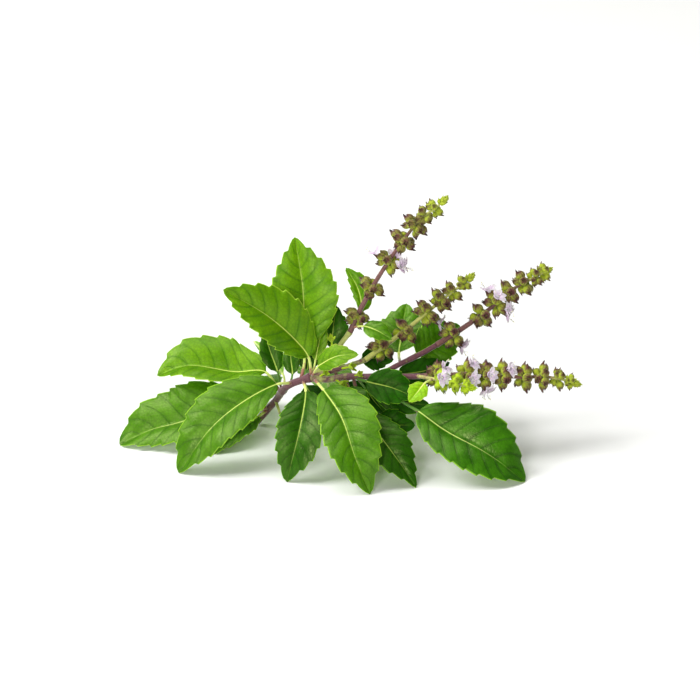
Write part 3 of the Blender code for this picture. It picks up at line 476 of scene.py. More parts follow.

# %% [markdown]
# ## Leaves
# Each leaf is known by the line of its stalk and midrib, where the blade begins, the way its upper side looks,
# its half width and its number of teeth. These are the solid model's own numbers, with a finish for each leaf.

# %% Leaf layout
# Each leaf's finish is partly its own green and partly painted light or painted shade for where it lies.
LEAVES = {
    "leaf_top": dict(
        path=[(-18, 2, 28), (-16.5, 3, 33.5), (-16.5, 5, 40.5), (-17, 12, 58.5), (-20, 20, 76)],
        blade=2, face=(0.1, -0.9, 0.4), half=11.8, teeth=9, fold=(0.1, 0.34), wave=0.5, phase=0.4, skin="sunlit"),
    "leaf_upper_left": dict(
        path=[(-15, -1, 31.5), (-15, 0, 37.5), (-19.5, 0, 44), (-29.5, -2, 54.5), (-45, -3, 65)],
        face=(-0.1, -0.8, 0.6), half=10.4, teeth=9, fold=(0.4, 0.1), halves=(0.74, 1.05), blunt=0.35, wave=0.6,
        phase=1.2, skin="sunlit"),
    "leaf_left": dict(
        path=[(-26.5, 8, 18), (-31, 11, 26.5), (-42.5, 12.5, 26), (-59.5, 13.5, 28), (-71, 13.5, 24)],
        face=(0, -0.35, 0.93), half=11.5, teeth=8, fold=(0.3, 0.4), halves=(0.8, 1.04), blunt=0.35, wave=0.5,
        phase=2.0, skin="sunlit"),
    "leaf_front_left": dict(
        path=[(-22.5, -1, 26.5), (-26.5, -3, 28), (-38, -8, 23.8), (-49.5, -13, 15.8), (-61.5, -19, 1)],
        face=(-0.25, -0.7, 0.7), half=10.6, teeth=9, fold=(0.26, 0.1), halves=(0.9, 1.08), blunt=0.75, wave=0.6,
        phase=0.0, rest=True, skin="fresh"),
    "leaf_far_left": dict(
        path=[(-31, 15, 8), (-39.5, 8, 14.5), (-51, 5, 14.5), (-61, 4, 10), (-73, 5, 6), (-84.8, 4, 1)],
        face=(0, -0.62, 0.78), half=11.5, teeth=9, fold=(0.2, 0.15), halves=(0.72, 1.14), blunt=1.0, wave=0.5,
        phase=0.9, rest=True, skin="fresh"),
    "leaf_under_left": dict(
        path=[(-31, 16, 8), (-34, 14, 7), (-40.5, 6, 5.5), (-49.5, -3.5, 1)],
        face=(0, -0.15, 1), half=7.5, teeth=6, fold=(0.15, 0.15), halves=(0.65, 1.0), wave=0.4, phase=0.3,
        rest=True, skin="fresh"),
    "leaf_front_middle": dict(
        path=[(-17.5, -2, 27.5), (-16, -5, 26), (-18.5, -20, 15.5), (-22.5, -26, 1)],
        face=(-0.1, -0.8, 0.6), half=8.5, teeth=8, fold=(0.3, 0.15), halves=(1.04, 0.92), blunt=0.6, wave=0.5,
        phase=1.5, rest=True, skin="deep"),
    "leaf_front_main": dict(
        path=[(-13.5, -3, 29.5), (-9.5, -8, 28), (-3, -19, 22.5), (2, -31, 12), (7, -35.5, 1)],
        face=(0.1, -0.8, 0.6), half=10.5, teeth=9, fold=(0.4, 0.12), halves=(1.05, 0.84), blunt=0.45, wave=0.7,
        phase=2.4, rest=True, skin="fresh"),
    "leaf_front_right": dict(
        path=[(-2, -4, 27), (4.5, -12, 21), (13.5, -22, 12.5), (23.5, -30.5, 1)],
        face=(0.3, -0.7, 0.65), half=8.0, teeth=8, cup=0.15, wave=0.4, phase=0.5, rest=True, skin="deep"),
    "leaf_big_right": dict(
        path=[(8, -5, 30), (16, -8, 25.5), (24.5, -12, 21.5), (34.5, -18, 16.5), (47.5, -23, 11), (62.5, -26, 1)],
        blade=2, face=(0.15, -0.7, 0.7), half=11.4, teeth=9, fold=(0.1, 0.22), halves=(1.27, 0.92), blunt=0.6,
        wave=0.6, phase=1.1, rest=True, skin="glossy"),
    "leaf_fill_right": dict(
        path=[(12, -1, 31.5), (17.5, 4.5, 28.6), (26.6, 7.5, 28.4), (36.5, 10.5, 30.5)],
        face=(0, -0.9, 0.4), half=5.0, teeth=5, skin="shaded"),
    "leaf_fill_low": dict(
        path=[(2, -1.5, 30.7), (5.8, 0, 24.5), (9.1, 0.2, 19.4), (12.7, 0.4, 15)],
        face=(0, -0.95, 0.3), half=4.2, teeth=4, small=True, skin="shaded"),
    "leaf_fill_hub": dict(
        path=[(-15, 4, 28), (-15.5, 7, 29.3), (-15.2, 9, 32.2), (-14, 10, 37)],
        face=(0, -0.9, 0.4), half=4.2, teeth=4, small=True, skin="shaded"),
    "leaf_small_left": dict(
        path=[(-25, 8.5, 20), (-26.5, 8.5, 28), (-29, 11, 34.5), (-31.5, 13, 42)],
        face=(0.2, -0.9, 0.4), half=4.2, teeth=5, small=True, skin="deep"),
    "leaf_pale": dict(
        path=[(-23.5, 5.5, 23), (-24.5, 12, 25.5), (-30, 18, 30), (-35.5, 22, 34)],
        face=(0.3, 0.9, 0.3), half=4.2, teeth=5, small=True, skin="young"),
    "leaf_small_middle": dict(
        path=[(-21.5, 4, 25.5), (-21, 6, 28), (-21.5, 8, 32.5), (-22, 10, 37.5)],
        face=(-0.2, -0.9, 0.4), half=3.2, teeth=4, small=True, skin="deep"),
    "leaf_young": dict(
        path=[(-13.5, -1.5, 31.5), (-11.5, -4, 35.5), (-4.5, -7, 41), (3, -8, 42)],
        face=(-0.1, -0.7, 0.75), half=4.4, teeth=5, small=True, skin="young"),
    "leaf_behind_hub": dict(
        path=[(-11.5, 6, 29), (-7, 12, 36), (-6, 16, 43), (-5, 19, 49.5)],
        face=(0.1, -0.9, 0.4), half=5.4, teeth=5, small=True, skin="deep"),
    "leaf_behind_top_spike": dict(
        path=[(-2, 11, 37.5), (4, 17, 48), (3, 21, 55), (-1.5, 25, 62)],
        face=(0, -0.9, 0.4), half=4.6, teeth=5, halves=(0.5, 1.1), small=True, skin="sunlit"),
    "leaf_on_top_spike": dict(
        path=[(1.5, 8, 45.2), (5, 5.5, 47.2), (10, 2.2, 46.8), (15, 0, 44.3)],
        face=(0.2, -0.7, 0.7), half=3.8, teeth=4, small=True, skin="fresh"),
    "leaf_narrow": dict(
        path=[(-14, 2, 30.5), (-12.5, 4, 34.5), (-11, 7, 41), (-9, 9, 47.5)],
        face=(0, -0.9, 0.4), half=3.0, teeth=4, small=True, skin="young"),
    "leaf_back_dark_1": dict(
        path=[(17, 5, 31.5), (18, 19, 31), (19.5, 28, 37), (21, 34, 44)],
        face=(-0.2, -0.9, 0.4), half=8.5, teeth=6, skin="fresh"),
    "leaf_back_dark_2": dict(
        path=[(20, 6, 33), (24.5, 13, 33), (32, 18, 35.5), (40.5, 23, 40)],
        face=(0.1, -0.8, 0.6), half=8.0, teeth=6, skin="fresh"),
    "leaf_back_dark_3": dict(
        path=[(3, 6.5, 33), (4.5, 11, 31.5), (10, 13.5, 31), (16, 13, 30.5)],
        face=(0, -0.9, 0.4), half=4.5, teeth=5, skin="shaded"),
    "leaf_right_middle": dict(
        path=[(0.5, -4, 30.5), (6, -6, 30.5), (15, -8, 29), (23.5, -10, 26)],
        face=(0, -0.75, 0.65), half=6.5, teeth=5, skin="shaded"),
    "leaf_dark_low": dict(
        path=[(6, -3, 31), (9.5, -2.5, 25), (18, -3.5, 21.5), (29, -4, 20)],
        face=(0, -0.8, 0.6), half=5.0, teeth=5, skin="shaded"),
    "leaf_dark_under": dict(
        path=[(1, -2.5, 30.5), (3, -6, 25), (8.5, -9.5, 17), (16, -10.5, 15.5), (23.5, -10, 15)],
        blade=2, face=(0, -0.8, 0.6), half=5.5, teeth=5, skin="shaded"),
    "leaf_shadow_left": dict(
        path=[(-16.5, 1.5, 27.8), (-16, 5, 23.5), (-13.5, 8, 18), (-10, 10, 13)],
        face=(0, -0.9, 0.4), half=4.6, teeth=4, small=True, skin="shaded"),
    "leaf_shadow_middle": dict(
        path=[(-5, 1.5, 28.6), (-2, 3, 25), (3, 4, 20.5), (9, 5, 15)],
        face=(0, -0.9, 0.4), half=5.4, teeth=5, skin="shaded"),
    "leaf_shadow_right": dict(
        path=[(9, 1.5, 31), (12, 4, 26), (17.5, 5.5, 20), (24, 7, 14)],
        face=(0.1, -0.85, 0.5), half=6.0, teeth=5, skin="shaded"),
    "leaf_small_behind": dict(
        path=[(-4.5, -4, 30), (-1.5, -8, 28.5), (3.5, -13, 27), (7, -16, 23.5)],
        face=(0.1, -0.7, 0.7), half=3.6, teeth=5, small=True, skin="deep"),
    "leaf_lime": dict(
        path=[(28, -9, 33), (26.5, -12, 32.5), (24, -15, 30.5), (21, -17, 27.5)],
        face=(-0.2, -0.8, 0.6), half=3.6, teeth=4, small=True, skin="lime"),
    "leaf_back_left": dict(
        path=[(-26.5, 12, 15.5), (-29, 17, 18), (-36, 30, 14), (-42, 43, 1)],
        face=(-0.2, 0.6, 0.75), half=9.5, teeth=7, cup=0.12, wave=0.5, phase=0.7, rest=True, skin="fresh"),
    "leaf_back_middle": dict(
        path=[(-13, 2, 30), (-12, 10, 28), (-10, 28, 19), (-7, 46, 1)],
        face=(0, 0.6, 0.8), half=10.0, teeth=7, cup=0.12, wave=0.6, phase=1.9, rest=True, skin="fresh"),
    "leaf_back_right": dict(
        path=[(6, -1, 31), (8, 7, 25.5), (17, 24, 16), (26, 42, 1)],
        face=(0.1, 0.6, 0.8), half=10.0, teeth=7, cup=0.12, wave=0.6, phase=2.6, rest=True, skin="fresh"),
}
print("leaves:", len(LEAVES))

# %% [markdown]
# ### How a blade is shaped
# The outline rises fast from the stalk and draws out to a point. Its saw teeth lean forward: each one swells for
# four fifths of its length and then drops back to a sharp notch. Between two side veins the leaf is slightly
# puffed up, and the midrib lies in a shallow valley. All of this is real relief, so it also shows from the side.

# %% Blade outline, teeth and relief
# In millimetres: how far a tooth stands out, how thick the blade is, and how far a resting tip sinks.
TOOTH = 0.95
THICK_MIDDLE, THICK_EDGE = 0.42, 0.16
TIP_DROP = 0.6
# Shares: where a tooth is widest, and how far a side vein runs on towards the tip.
TOOTH_PEAK = 0.78
VEIN_LEAN = 1.45


def blade_outline(t, blunt=0.0):
    """The half width at the share t of the midrib, as a share of the widest."""
    return math.sin(math.pi * t ** (0.83 + 0.12 * blunt)) ** (0.62 + 0.5 * t * (1 - blunt))


def tooth(t, teeth):
    """0 at a notch, 1 at a tooth's tip."""
    share = (t * teeth) % 1.0
    if share < TOOTH_PEAK:
        return (share / TOOTH_PEAK) ** 0.85
    return ((1.0 - share) / (1.0 - TOOTH_PEAK)) ** 1.6


def vein_count(t, u, veins):
    """A whole number on each side vein. The veins leave the midrib at about 45 degrees and bend to the tip."""
    return t * veins - VEIN_LEAN * abs(u) ** 1.15 + 0.35


def relief(t, u, veins, strength):
    """How far the blade stands above its smooth form: puffed between veins, with a narrow crease on each."""
    off = abs((vein_count(t, u, veins) + 0.5) % 1.0 - 0.5) * 2
    puff = 0.45 * math.sin(math.pi * 0.5 * off) + 0.55 * (1 - math.exp(-(off / 0.16) ** 2))
    open_part = math.sin(math.pi * min(abs(u), 1.0)) ** 0.6 * min(1.0, 7 * t) * min(1.0, 5 * (1 - t))
    return strength * puff * open_part


print("outline at the middle:", round(blade_outline(0.5), 3), "of the half width")

# %% [markdown]
# ### Building a leaf
# A leaf is one closed skin: rows of points across the upper side, the same rows across the lower side, and a
# thin rim. Rows lie closer together at the tips of the teeth, columns closer at the midrib and at the edge. A
# leaf that rests on the surface bends where it meets it, which a soft floor limit does. The stalk is a row of
# rings that take the blade's first row as their last ring.

# %% Leaf builder
BLADE_UP, BLADE_DOWN, STALK = 0, 1, 2
# Rows of points within one tooth and at the tip, as shares; and where teeth and the lying part begin.
TOOTH_ROWS = [0.0, 0.18, 0.36, 0.54, TOOTH_PEAK - 0.1, TOOTH_PEAK, 0.5 + TOOTH_PEAK / 2, 0.95]
LAST_ROW = 0.997
TOOTHED_FROM, LYING_FROM = 0.72, 0.74
WAVES_ALONG, OTHER_SIDE_PHASE = 2.3, 1.3
# In millimetres: half width from which relief is full, valley over the midrib, and the rib under it.
FULL_RELIEF_HALF = 9
VALLEY_DEPTH, VALLEY_REACH = 0.3, 0.8
RIB_THICKNESS, RIB_REACH = 0.5, 0.45
STALK_RINGS = 7
# Finishes whose leaves get the darker stalk colour, which is painted shade.
DARK_STALKED = ("deep", "shaded", "glossy")


def soft_floor(z, give=0.2):
    """Keeps a height above the surface, with a bend and no crease."""
    return 0.5 * (z + math.sqrt(z * z + give * give))


def seat(point):
    """The nearest place on a stem or spike axis, and its radius there."""
    return min(axis_samples, key=lambda sample: (sample[0] - Vector(point)).length)


def leaf_frame(route, distance, face):
    """A place on the midrib, the way it heads, and the blade's right and upward directions."""
    heading = route.heading(distance)
    right = heading.cross(Vector(face)).normalized()
    return route.at(distance), heading, right, right.cross(heading).normalized()


def build_leaf(name, path, face, half, teeth, skin, blade=1, cup=0.1, fold=None, halves=(1.0, 1.0), blunt=0.0,
               wave=0.3, phase=0.0, rest=False, small=False):
    """A blade on its stalk. The blade begins at the path's point number blade, and half is its half width."""
    start_point, stem_radius = seat(path[0])
    route = Route([start_point, *path[1:]])
    base = route.mark(blade)
    span = route.length - base
    stalk, columns, relief_height = (0.36, 7, 0.15) if small else (0.5, 11, 0.3)
    size = min(1.0, half / FULL_RELIEF_HALF)
    veins = 5 if small or half < 7 else 8
    slopes = fold or (cup, cup)
    spread = [math.sin(0.5 * math.pi * k / columns) ** 1.1 * 0.35 + 0.65 * k / columns for k in range(columns + 1)]
    us = [-u for u in spread[:0:-1]] + spread
    wide = len(us)
    shares = TOOTH_ROWS[::2] + [TOOTH_PEAK] if small else TOOTH_ROWS
    rows = sorted({(i + share) / teeth for i in range(teeth) for share in shares}) + [LAST_ROW]
    points, vein_map, place_map = [], [], []
    upper_rows, lower_rows = [], []
    for t in rows:
        spot, heading, right, normal = leaf_frame(route, base + span * t, face)
        if rest:
            lying = smooth_step(t, LYING_FROM, 1.0)
            spot.z -= TIP_DROP * lying
            normal = normal.lerp(Vector((0, 0, 1)), 0.75 * lying).normalized()
            right = (right - normal * right.dot(normal)).normalized()
        near_ends = (0.35 if t < 1 / teeth else 1.0) * (0.35 + 0.65 * smooth_step(1 - t, 0.0, 0.12))
        tooth_here = TOOTH * size * near_ends * tooth(t, teeth)
        neck = stalk * (1 - smooth_step(t, 0.0, 0.12)) * 0.9 + 0.12
        full = (half - 0.3) * blade_outline(t, blunt)
        tops, unders = [], []
        for u in us:
            side = int(u > 0)
            swell = tooth_here * smooth_step(abs(u), TOOTHED_FROM, 1.0)
            width = neck + full * halves[side]
            reach = u * width + math.copysign(swell, u)
            rise = slopes[side] * abs(reach) + 0.08 * width * math.sin(math.pi * abs(u))
            ripple = wave * math.sin(math.tau * WAVES_ALONG * t + phase + OTHER_SIDE_PHASE * side) * u * u
            rise += ripple * min(1.0, 4 * t * (1 - t))
            rise += relief(t, u, veins, relief_height * size)
            rise -= VALLEY_DEPTH * math.exp(-(reach / VALLEY_REACH) ** 2) * min(1.0, 6 * t) * (1 - 0.7 * t)
            thick = THICK_EDGE + (THICK_MIDDLE - THICK_EDGE) * (1 - abs(u)) ** 0.7
            thick += RIB_THICKNESS * math.exp(-(reach / RIB_REACH) ** 2) * (1 - t) ** 0.8
            top = spot + right * reach + heading * (0.55 * swell) + normal * (rise + 0.02)
            under = top - normal * thick
            if rest:
                under.z = soft_floor(under.z - 0.05) - 0.04 * smooth_step(t, 0.9, 1.0)
                top.z = max(soft_floor(top.z - 0.05), under.z + 0.8 * thick)
            tops.append(top)
            unders.append(under)
            vein_map.append((reach, vein_count(t, u, veins)))
            place_map.append((u, t))
        upper_rows.append(list(range(len(points), len(points) + wide)))
        lower_rows.append(list(range(len(points) + wide, len(points) + 2 * wide)))
        points += tops + unders
        vein_map += vein_map[-wide:]
        place_map += place_map[-wide:]

    faces, slots = [], []
    for a, b, c, d in zip(upper_rows, upper_rows[1:], lower_rows, lower_rows[1:]):
        for k in range(wide - 1):
            faces += [(a[k], a[k + 1], b[k + 1], b[k]), (c[k + 1], c[k], d[k], d[k + 1])]
            slots += [BLADE_UP, BLADE_DOWN]
        faces += [(c[0], a[0], b[0], d[0]), (a[-1], c[-1], d[-1], b[-1])]
        slots += [BLADE_UP, BLADE_UP]
    tip, under_tip = upper_rows[-1], lower_rows[-1]
    faces += [(tip[k], tip[k + 1], under_tip[k + 1], under_tip[k]) for k in range(wide - 1)]
    slots += [BLADE_UP] * (wide - 1)

    start = stem_radius * 0.75
    half_turn = [math.pi * (1 - (u + 1) / 2) for u in us]
    turns = half_turn + [-turn for turn in half_turn[::-1]]
    loops = []
    for i in range(STALK_RINGS):
        share = i / STALK_RINGS
        spot, heading, right, normal = leaf_frame(route, start + (base - start) * share, face)
        swell = stalk * (1.0 + 0.35 * (1 - share) ** 3)
        loops.append(list(range(len(points), len(points) + len(turns))))
        points += [spot + right * (math.cos(turn) * swell) + normal * (math.sin(turn) * swell - 0.15)
                   for turn in turns]
        vein_map += [(0.0, 0.5)] * len(turns)
        place_map += [(0.95 - 1.3 * share, 0.0)] * len(turns)
    loops.append(upper_rows[0] + lower_rows[0][::-1])
    for near, far in zip(loops, loops[1:]):
        for k in range(len(turns)):
            n = (k + 1) % len(turns)
            faces.append((near[k], near[n], far[n], far[k]))
    faces.append(tuple(reversed(loops[0])))
    slots += [STALK] * (STALK_RINGS * len(turns) + 1)
    # A leaf in shade gets the darker stalk colour, painted shade.
    dark = skin in DARK_STALKED and name != "leaf_front_middle"
    materials = [LEAF_SKINS[skin], LEAF_BACK, DARK_STALK_SKIN if dark else STALK_SKIN]
    maps = {"veins": vein_map, "place": place_map, "along": place_map}
    return make_piece(name + "_blade", points, faces, materials, maps, name, slots)


leaf_pieces = [build_leaf(name, **leaf) for name, leaf in LEAVES.items()]
print("leaf faces in all:", sum(len(p.data.polygons) for p in leaf_pieces))

# %% [markdown]
# ## Stem
# The stem forks at the middle of the sprig. Each run is a tube with four soft corners, and it swells at the
# nodes, where leaves and branches leave it. All runs go into one mesh; their ends overlap inside the fork, as
# wood grows round a fork.

# %% Tubes
def ring_faces(rings, count):
    """Faces between rings of points, and a cap at each end."""
    faces = []
    for r in range(rings - 1):
        for k in range(count):
            n = (k + 1) % count
            faces.append((r * count + k, r * count + n, (r + 1) * count + n, (r + 1) * count + k))
    return faces + [tuple(reversed(range(count))), tuple((rings - 1) * count + k for k in range(count))]


def tube(points, first, last, sides=16, step=0.9, square=0.07, swells=(), tone=lambda share: 0.8, stop=0.0):
    """Points, faces and map of a closed tube. Swells are (share along it, extra radius share, width in mm)."""
    route = Route(points)
    length = route.length - stop
    rings = max(int(length / step), 3)
    made, tones = [], []
    side = None
    for i in range(rings + 1):
        share = i / rings
        distance = length * share
        heading = route.heading(distance)
        side = side or heading.cross(Vector((0.3, 0.2, 1.0))).normalized()
        side = (side - heading * side.dot(heading)).normalized()
        other = heading.cross(side)
        radius = first + (last - first) * share
        for where, extra, width in swells:
            radius *= 1 + extra * math.exp(-((distance - where * route.length) / width) ** 2)
        for k in range(sides):
            angle = math.tau * k / sides
            reach = radius * (1.0 + square * math.cos(4 * angle))
            made.append(route.at(distance) + (side * math.cos(angle) + other * math.sin(angle)) * reach)
            tones.append((tone(share), share))
    return made, ring_faces(rings + 1, sides), tones


def gather(shapes):
    """Several (points, faces, map) shapes as one."""
    points, faces, values = [], [], []
    for shape_points, shape_faces, shape_values in shapes:
        shift = len(points)
        points += shape_points
        values += shape_values
        faces += [tuple(k + shift for k in face) for face in shape_faces]
    return points, faces, values


# How purple each run is at its foot and its head, and its swollen nodes.
STEM_DETAILS = {
    "main": (0.75, 0.95, [(0.98, 0.35, 1.6), (0.62, 0.25, 1.6)]),
    "top_branch": (0.1, 0.35, [(0.99, 0.3, 1.2)]),
    "middle_branch": (0.75, 0.45, []),
    "lower_right_branch": (0.45, 1.15, [(0.58, 0.2, 1.5), (0.35, 0.25, 1.4)]),
    "upper_right_branch": (0.85, 0.85, [(0.6, 0.15, 1.5)]),
    "twig_stub": (0.3, 0.3, []),
}
runs = []
for run_name, (points, first, last) in STEM_RUNS.items():
    foot, head, swells = STEM_DETAILS[run_name]
    runs.append(tube(points, first, last, swells=swells, tone=lambda share: foot + (head - foot) * share))
stem_points, stem_faces, stem_tones = gather(runs)
make_piece("forked_stem", stem_points, stem_faces, [STEM_SKIN], {"along": stem_tones}, "stem")

# %% [markdown]
# ## Flower spike finishes
# A calyx is the small green cup that holds each flower and later its seeds. It is lime green at its foot, and
# its lips and ribs turn purple-brown where the sun reaches them. It is thin leafy tissue with glands and hairs,
# so it is matt with a fine grain. The grain's real size is 0.1 mm; it is drawn at 0.35 mm so that it shows.

# %% Calyx finish
BLOTCHES_PER_METRE, GRAINS_PER_METRE = 700.0, 2800.0


def cup_skin(name, foot, middle, lip, awn, through):
    cup = new_material(name)
    along = add_node(cup, "SeparateXYZ", {0: add_node(cup, "UVMap", uv_map="along")}).outputs
    here = add_node(cup, "TexCoord").outputs["Object"]
    blotch = add_node(cup, "TexNoise", {"Vector": here, "Scale": BLOTCHES_PER_METRE, "Detail": 3.0,
                                        "Roughness": 0.7})
    grain = add_node(cup, "TexNoise", {"Vector": here, "Scale": GRAINS_PER_METRE, "Detail": 2.0})
    drift = add_node(cup, "Math", {0: blotch, 1: 0.5}, operation="SUBTRACT")
    tone = add_node(cup, "Math", {0: drift, 1: 0.9, 2: along["X"]}, operation="MULTIPLY_ADD")
    low = add_node(cup, "MapRange", {"Value": tone, "From Min": 0.1, "From Max": 0.5}, **SMOOTH)
    high = add_node(cup, "MapRange", {"Value": tone, "From Min": 0.5, "From Max": 0.95}, **SMOOTH)
    colour = add_node(cup, "Mix", {0: low, 6: linear(foot), 7: linear(middle)}, data_type="RGBA")
    colour = add_node(cup, "Mix", {0: high, 6: colour, 7: linear(lip)}, data_type="RGBA")
    ribs = add_node(cup, "Math", {0: along["Y"], 1: 0.5}, operation="PINGPONG")
    rib_line = add_node(cup, "MapRange", {"Value": ribs, "From Min": 0.05, "From Max": 0.3,
                                          "To Min": 0.7, "To Max": 0.0}, **SMOOTH)
    rib_line = add_node(cup, "Math", {0: rib_line, 1: low}, operation="MULTIPLY")
    colour = add_node(cup, "Mix", {0: rib_line, 6: colour, 7: linear(lip)}, data_type="RGBA")
    tip = add_node(cup, "MapRange", {"Value": tone, "From Min": 1.15, "From Max": 1.5}, **SMOOTH)
    colour = add_node(cup, "Mix", {0: tip, 6: colour, 7: linear(awn)}, data_type="RGBA")
    height = add_node(cup, "Math", {0: ribs, 1: 1.2, 2: grain}, operation="MULTIPLY_ADD")
    bump = add_node(cup, "Bump", {"Strength": 0.6, "Distance": 0.00012, "Height": height})
    skin = add_node(cup, "BsdfPrincipled", {
        "Base Color": colour, "Roughness": 0.55, "IOR": 1.45, "Normal": bump, "Specular IOR Level": 0.3,
        "Sheen Weight": 0.2, "Sheen Roughness": 0.5})
    inside = add_node(cup, "BsdfTranslucent", {"Color": colour})
    both = add_node(cup, "MixShader", {0: through, 1: skin, 2: inside})
    add_node(cup, "OutputMaterial", {0: both})
    return cup


CALYX_SKIN = cup_skin("basil calyx", "#bccc34", "#94933e", "#6c3a38", "#34161e", 0.25)
YOUNG_CALYX_SKIN = cup_skin("young basil calyx", "#d2ee24", "#c0dc2c", "#b8c43e", "#8e6a48", 0.35)
SPIKE_STEM_SKIN = stem_skin("spike axis", "#b0b250", "#d4d580", "#47262f", "#97695f")
print("spike finishes:", CALYX_SKIN.name, YOUNG_CALYX_SKIN.name, SPIKE_STEM_SKIN.name)

# %% [markdown]
# The petals (corolla) are thin and wet inside, nearly white with a lilac blush that deepens to the lip. Light
# passes through them, so a large share of Translucent keeps them bright. Anthers carry pale yellow pollen.

# %% Petal and anther finish
PETAL_STREAKS_PER_METRE, POLLEN_GRAINS_PER_METRE = 900.0, 3000.0

petal = new_material("lilac petal")
blush = add_node(petal, "SeparateXYZ", {0: add_node(petal, "UVMap", uv_map="along")}).outputs["X"]
petal_here = add_node(petal, "TexCoord").outputs["Object"]
streak = add_node(petal, "TexNoise", {"Vector": petal_here, "Scale": PETAL_STREAKS_PER_METRE, "Detail": 3.0})
drift = add_node(petal, "Math", {0: streak, 1: 0.5}, operation="SUBTRACT")
tone = add_node(petal, "Math", {0: drift, 1: 1.2, 2: blush}, operation="MULTIPLY_ADD", use_clamp=True)
lilac = add_node(petal, "Mix", {0: tone, 6: linear("#ffffff"), 7: linear("#f9e0fb")}, data_type="RGBA")
bump = add_node(petal, "Bump", {"Strength": 0.3, "Distance": 0.00008, "Height": streak})
skin = add_node(petal, "BsdfPrincipled", {"Base Color": lilac, "Roughness": 0.5, "IOR": 1.4, "Normal": bump,
                                          "Specular IOR Level": 0.3})
glow = add_node(petal, "BsdfTranslucent", {"Color": lilac})
both = add_node(petal, "MixShader", {0: 0.45, 1: skin, 2: glow})
add_node(petal, "OutputMaterial", {0: both})

pollen = new_material("pale anther")
pollen_here = add_node(pollen, "TexCoord").outputs["Object"]
grain = add_node(pollen, "TexNoise", {"Vector": pollen_here, "Scale": POLLEN_GRAINS_PER_METRE})
yellow = add_node(pollen, "Mix", {0: grain, 6: linear("#e9e2a4"), 7: linear("#f6f2cf")}, data_type="RGBA")
dust = add_node(pollen, "BsdfPrincipled", {"Base Color": yellow, "Roughness": 0.8, "Specular IOR Level": 0.2})
add_node(pollen, "OutputMaterial", {0: dust})
print("flower finishes:", petal.name, pollen.name)

# %% [markdown]
# ## Parts of a flower spike
# A calyx is an urn on a short stalk, with ten ribs. Its upper lip is one broad pointed flap that curls back, and
# its lower lip has two dark curved awns with a small tooth beside each. A rim function of the angle pushes the
# top rows of the urn up. The lips lean in over the mouth, and an inner wall gives the urn its thickness.

# %% Calyx and bud
CALYX_LENGTH, PEDICEL_LENGTH = 4.1, 1.7
CALYX_SIDES, BUD_SIDES = 24, 12
SHOULDER_HEIGHT = 0.44
# Degrees from the middle of the upper lip: its half width, the awns, the side teeth, and half a tooth.
UPPER_LIP_DEGREES, AWN_AT_DEGREES, SIDE_TOOTH_AT_DEGREES, TOOTH_DEGREES = 88, 150, 105, 17
# The wall above the shoulder, up outside and down inside: share of the way to the rim, inset, tone.
WALL_ROWS = ((0.3, 0.0, 0.42), (0.55, 0.0, 0.52), (0.78, 0.0, 0.68), (1.0, 0.01, 0.95),
             (0.9, 0.03, 0.8), (0.7, 0.05, 0.7))
# The floor inside the cup, and the rings of a bud: share of the length, radius.
CUP_FLOOR_ROWS = ((0.66, 0.1), (0.65, 0.03))
BUD_ROWS = ((-0.06, 0.08), (0.1, 0.17), (0.26, 0.27), (0.42, 0.28), (0.58, 0.2), (0.74, 0.11), (0.88, 0.05),
            (1.0, 0.012))


def rim(angle):
    """The rim of the cup: its height as a share of the length, and how much of it is the upper lip or an awn."""
    turn = math.degrees(abs((angle + math.pi) % math.tau - math.pi))
    upper = max(0.0, 1 - (turn / UPPER_LIP_DEGREES) ** 1.7)
    awn = max(0.0, 1 - abs(turn - AWN_AT_DEGREES) / TOOTH_DEGREES)
    side = max(0.0, 1 - abs(turn - SIDE_TOOTH_AT_DEGREES) / TOOTH_DEGREES)
    return 0.7 + 0.26 * upper + 0.42 * awn + 0.18 * side, upper, awn


def urn_radius(height):
    """Radius of the urn as a share of its length: widest at two fifths, closing in at the lips."""
    return 0.13 + 0.31 * max(0.0, 1 - ((height - 0.4) / 0.52) ** 2)


def ring_at(centre, lip, side, radius, count):
    return [centre + (lip * math.cos(math.tau * k / count) + side * math.sin(math.tau * k / count)) * radius
            for k in range(count)]


def calyx_shape(root, out, lip, length, pedicel, purple):
    """The map holds how purple each point is, and a count that is a whole number on each of the ten ribs."""
    side = out.cross(lip).normalized()
    cup = root + out * pedicel
    points, tones = [], []
    turned = []
    for k in range(CALYX_SIDES):
        angle = math.tau * k / CALYX_SIDES
        rib = 5 * abs((angle + math.pi) % math.tau - math.pi) / math.pi
        turned.append((angle, rib, lip * math.cos(angle) + side * math.sin(angle)))
    # The little stalk and the foot of the urn: height, radius, tone.
    foot_rows = [(-pedicel - 0.45, 0.32, 0.0), (-pedicel * 0.5, 0.28, 0.05), (-0.15, 0.32, 0.05)]
    foot_rows += [(height * length, radius * length, tone) for height, radius, tone in (
        (0.05, 0.22, 0.1), (0.15, 0.35, 0.12), (0.3, 0.43, 0.22), (SHOULDER_HEIGHT, 0.44, 0.34))]
    for height, radius, tone in foot_rows:
        for angle, rib, way in turned:
            points.append(cup + out * height + way * radius)
            tones.append(((tone + 0.28 * math.cos(angle) * min(1.0, tone * 4)) * purple, rib))
    for share, inset, tone in WALL_ROWS:
        for angle, rib, way in turned:
            height, upper, awn = rim(angle)
            height = SHOULDER_HEIGHT + (height - SHOULDER_HEIGHT) * share
            lean_in = (0.2 * upper + 0.15 * (1 - upper) * (1 - awn)) * share ** 3
            radius = max(urn_radius(height) - inset, 0.28 * awn) - lean_in
            bend = 0.05 * upper * max(0.0, share - 0.7) / 0.3 + awn * (0.34 * share * share - 0.3 * share)
            points.append(cup + (out * height + way * radius + lip * bend) * length)
            tones.append(((tone + 0.15 * math.cos(angle) + 0.9 * awn * share) * purple, rib))
    for height, radius in CUP_FLOOR_ROWS:
        points += ring_at(cup + out * (height * length), lip, side, radius * length, CALYX_SIDES)
        tones += [(0.7 * purple, 0.5)] * CALYX_SIDES
    return points, ring_faces(len(points) // CALYX_SIDES, CALYX_SIDES), tones


